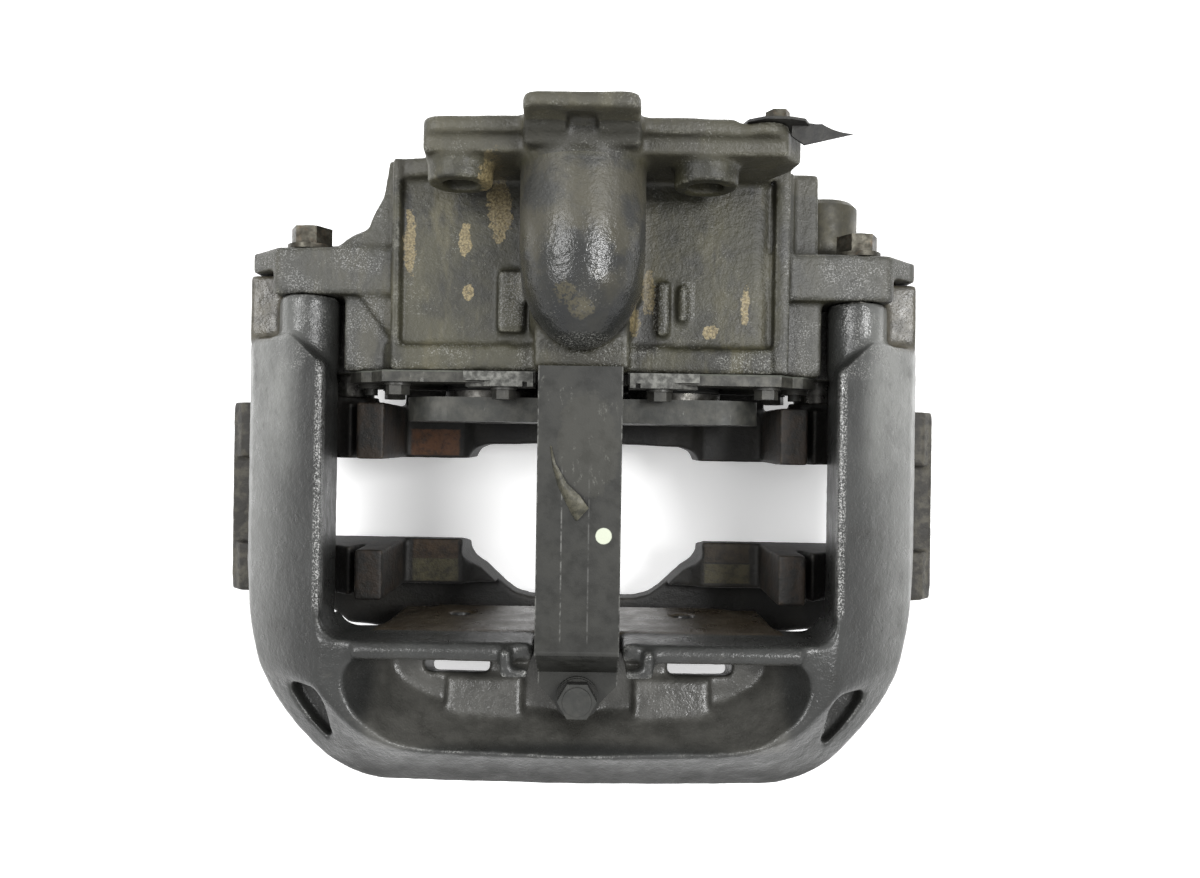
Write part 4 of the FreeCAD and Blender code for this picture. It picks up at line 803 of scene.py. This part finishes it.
def middle_of(node):
    """The middle of a node's box at rest."""
    low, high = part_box(node)
    return (Vector(low) + Vector(high)) / 2


def add_boot(build, middle, reach, low, high):
    """Adds a pleated tube around a middle, from one place on Y to another."""
    rows = []
    for step in range(BOOT_STEPS + 1):
        share = step / BOOT_STEPS
        fold = math.cos(2 * math.pi * BOOT_FOLDS * share)
        height = math.sin(math.pi * min(1, share * BOOT_GROWTH))
        radius = reach - BOOT_INSET * MM + BOOT_PLEAT * MM * fold * height
        row = []
        for side in range(BOOT_SIDES):
            turn = 2 * math.pi * side / BOOT_SIDES
            x = middle.x + radius * math.cos(turn)
            z = middle.z + radius * math.sin(turn)
            row.append(build.verts.new((x, low + (high - low) * share, z)))
        rows.append(row)
    for first, second in zip(rows, rows[1:]):
        for side in range(BOOT_SIDES):
            after = (side + 1) % BOOT_SIDES
            build.faces.new((first[side], second[side], second[after], first[after]))


def pleated_boots():
    """Two pleated rubber boots between the cover and the tappets."""
    low, high = (Vector(corner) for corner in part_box("tappet_boots"))
    build = bmesh.new()
    for node in ("spindle_right", "spindle_left"):
        middle = middle_of(node)
        add_boot(build, middle, high.x - abs(middle.x), low.y, high.y)
    bmesh.ops.recalc_face_normals(build, faces=build.faces)
    mesh = bpy.data.meshes.new("pleated_boots")
    build.to_mesh(mesh)
    build.free()
    shade_smooth(mesh)
    boots = add_object("pleated_boots", mesh)
    thick = boots.modifiers.new("thick", "SOLIDIFY")
    thick.thickness = BOOT_WALL * MM
    thick.offset = -1
    apply_modifiers(boots)
    boots.data.materials.append(MATERIALS["black_rubber"])
    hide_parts("tappet_boots")
    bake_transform(boots)


def squeezed_spring():
    """The return spring, attached to its body."""
    spring = add_object("squeezed_spring", NODES["return_spring"].data.copy())
    spring.data.materials.clear()
    spring.data.materials.append(MATERIALS["spring_steel"])
    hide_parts("return_spring")
    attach(spring, BODY_OF["return_spring"])
    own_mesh(spring)


pleated_boots()
squeezed_spring()


# ------------------------------------------------------------------ torn label

# Pairs of points on the scrap's two long edges, in millimetres.
SCRAP_EDGES = [
    ((-14.6, 12, 182.6), (-13.8, 11.5, 182.7)),
    ((-13.4, 2.5, 182.6), (-11.8, 3.5, 183.0)),
    ((-10.4, -8, 182.6), (-6.0, -6.5, 184.0)),
    ((-7.0, -15, 182.6), (0.5, -12.5, 185.0)),
    ((-3.6, -21.5, 182.7), (5.0, -18.5, 185.6)),
    ((-1.2, -25.2, 182.9), (-0.4, -24.8, 183.6)),
]
SCRAP_THICKNESS = 0.25
SCRAP_FILM = ((0.030, 0.029, 0.020), (0.085, 0.080, 0.056))


def torn_scrap():
    """A blank, curled scrap left of a label on the strap."""
    build = bmesh.new()
    rows = [
        [build.verts.new([value * MM for value in point]) for point in row]
        for row in SCRAP_EDGES
    ]
    for first, second in zip(rows, rows[1:]):
        build.faces.new((first[0], first[1], second[1], second[0]))
    mesh = bpy.data.meshes.new("label_scrap")
    build.to_mesh(mesh)
    build.free()
    shade_smooth(mesh)
    scrap = add_object("label_scrap", mesh)
    scrap.modifiers.new("thick", "SOLIDIFY").thickness = SCRAP_THICKNESS * MM
    apply_modifiers(scrap)
    s = Surface("scrap_film")
    color = s.blotches(SCRAP_FILM, 0.4, 0.62, 6, 5, 0.7)
    scrap.data.materials.append(s.finish(color, 0.5, 0.0, [(s.noise(2.5, 3), 0.3)]))
    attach(scrap, "caliper")


torn_scrap()


# ------------------------------------------------------------------ floor

# Half the floor's side and its height, in metres. It lies just under the part.
FLOOR_REACH = 6
FLOOR_HEIGHT = -0.0003
FLOOR_COLOR = (0.93, 0.93, 0.93)
FLOOR_GLOW = 0.30


def make_floor():
    """A plain pale floor under the part."""
    mesh = bpy.data.meshes.new("floor")
    build = bmesh.new()
    bmesh.ops.create_grid(build, x_segments=2, y_segments=2, size=FLOOR_REACH)
    build.to_mesh(mesh)
    build.free()
    floor = add_object("floor", mesh)
    floor.location.z = FLOOR_HEIGHT
    s = Surface("floor_paper")
    s.shader.inputs["Emission Color"].default_value = WHITE
    s.shader.inputs["Emission Strength"].default_value = FLOOR_GLOW
    mesh.materials.append(s.finish(FLOOR_COLOR, 0.9))


make_floor()
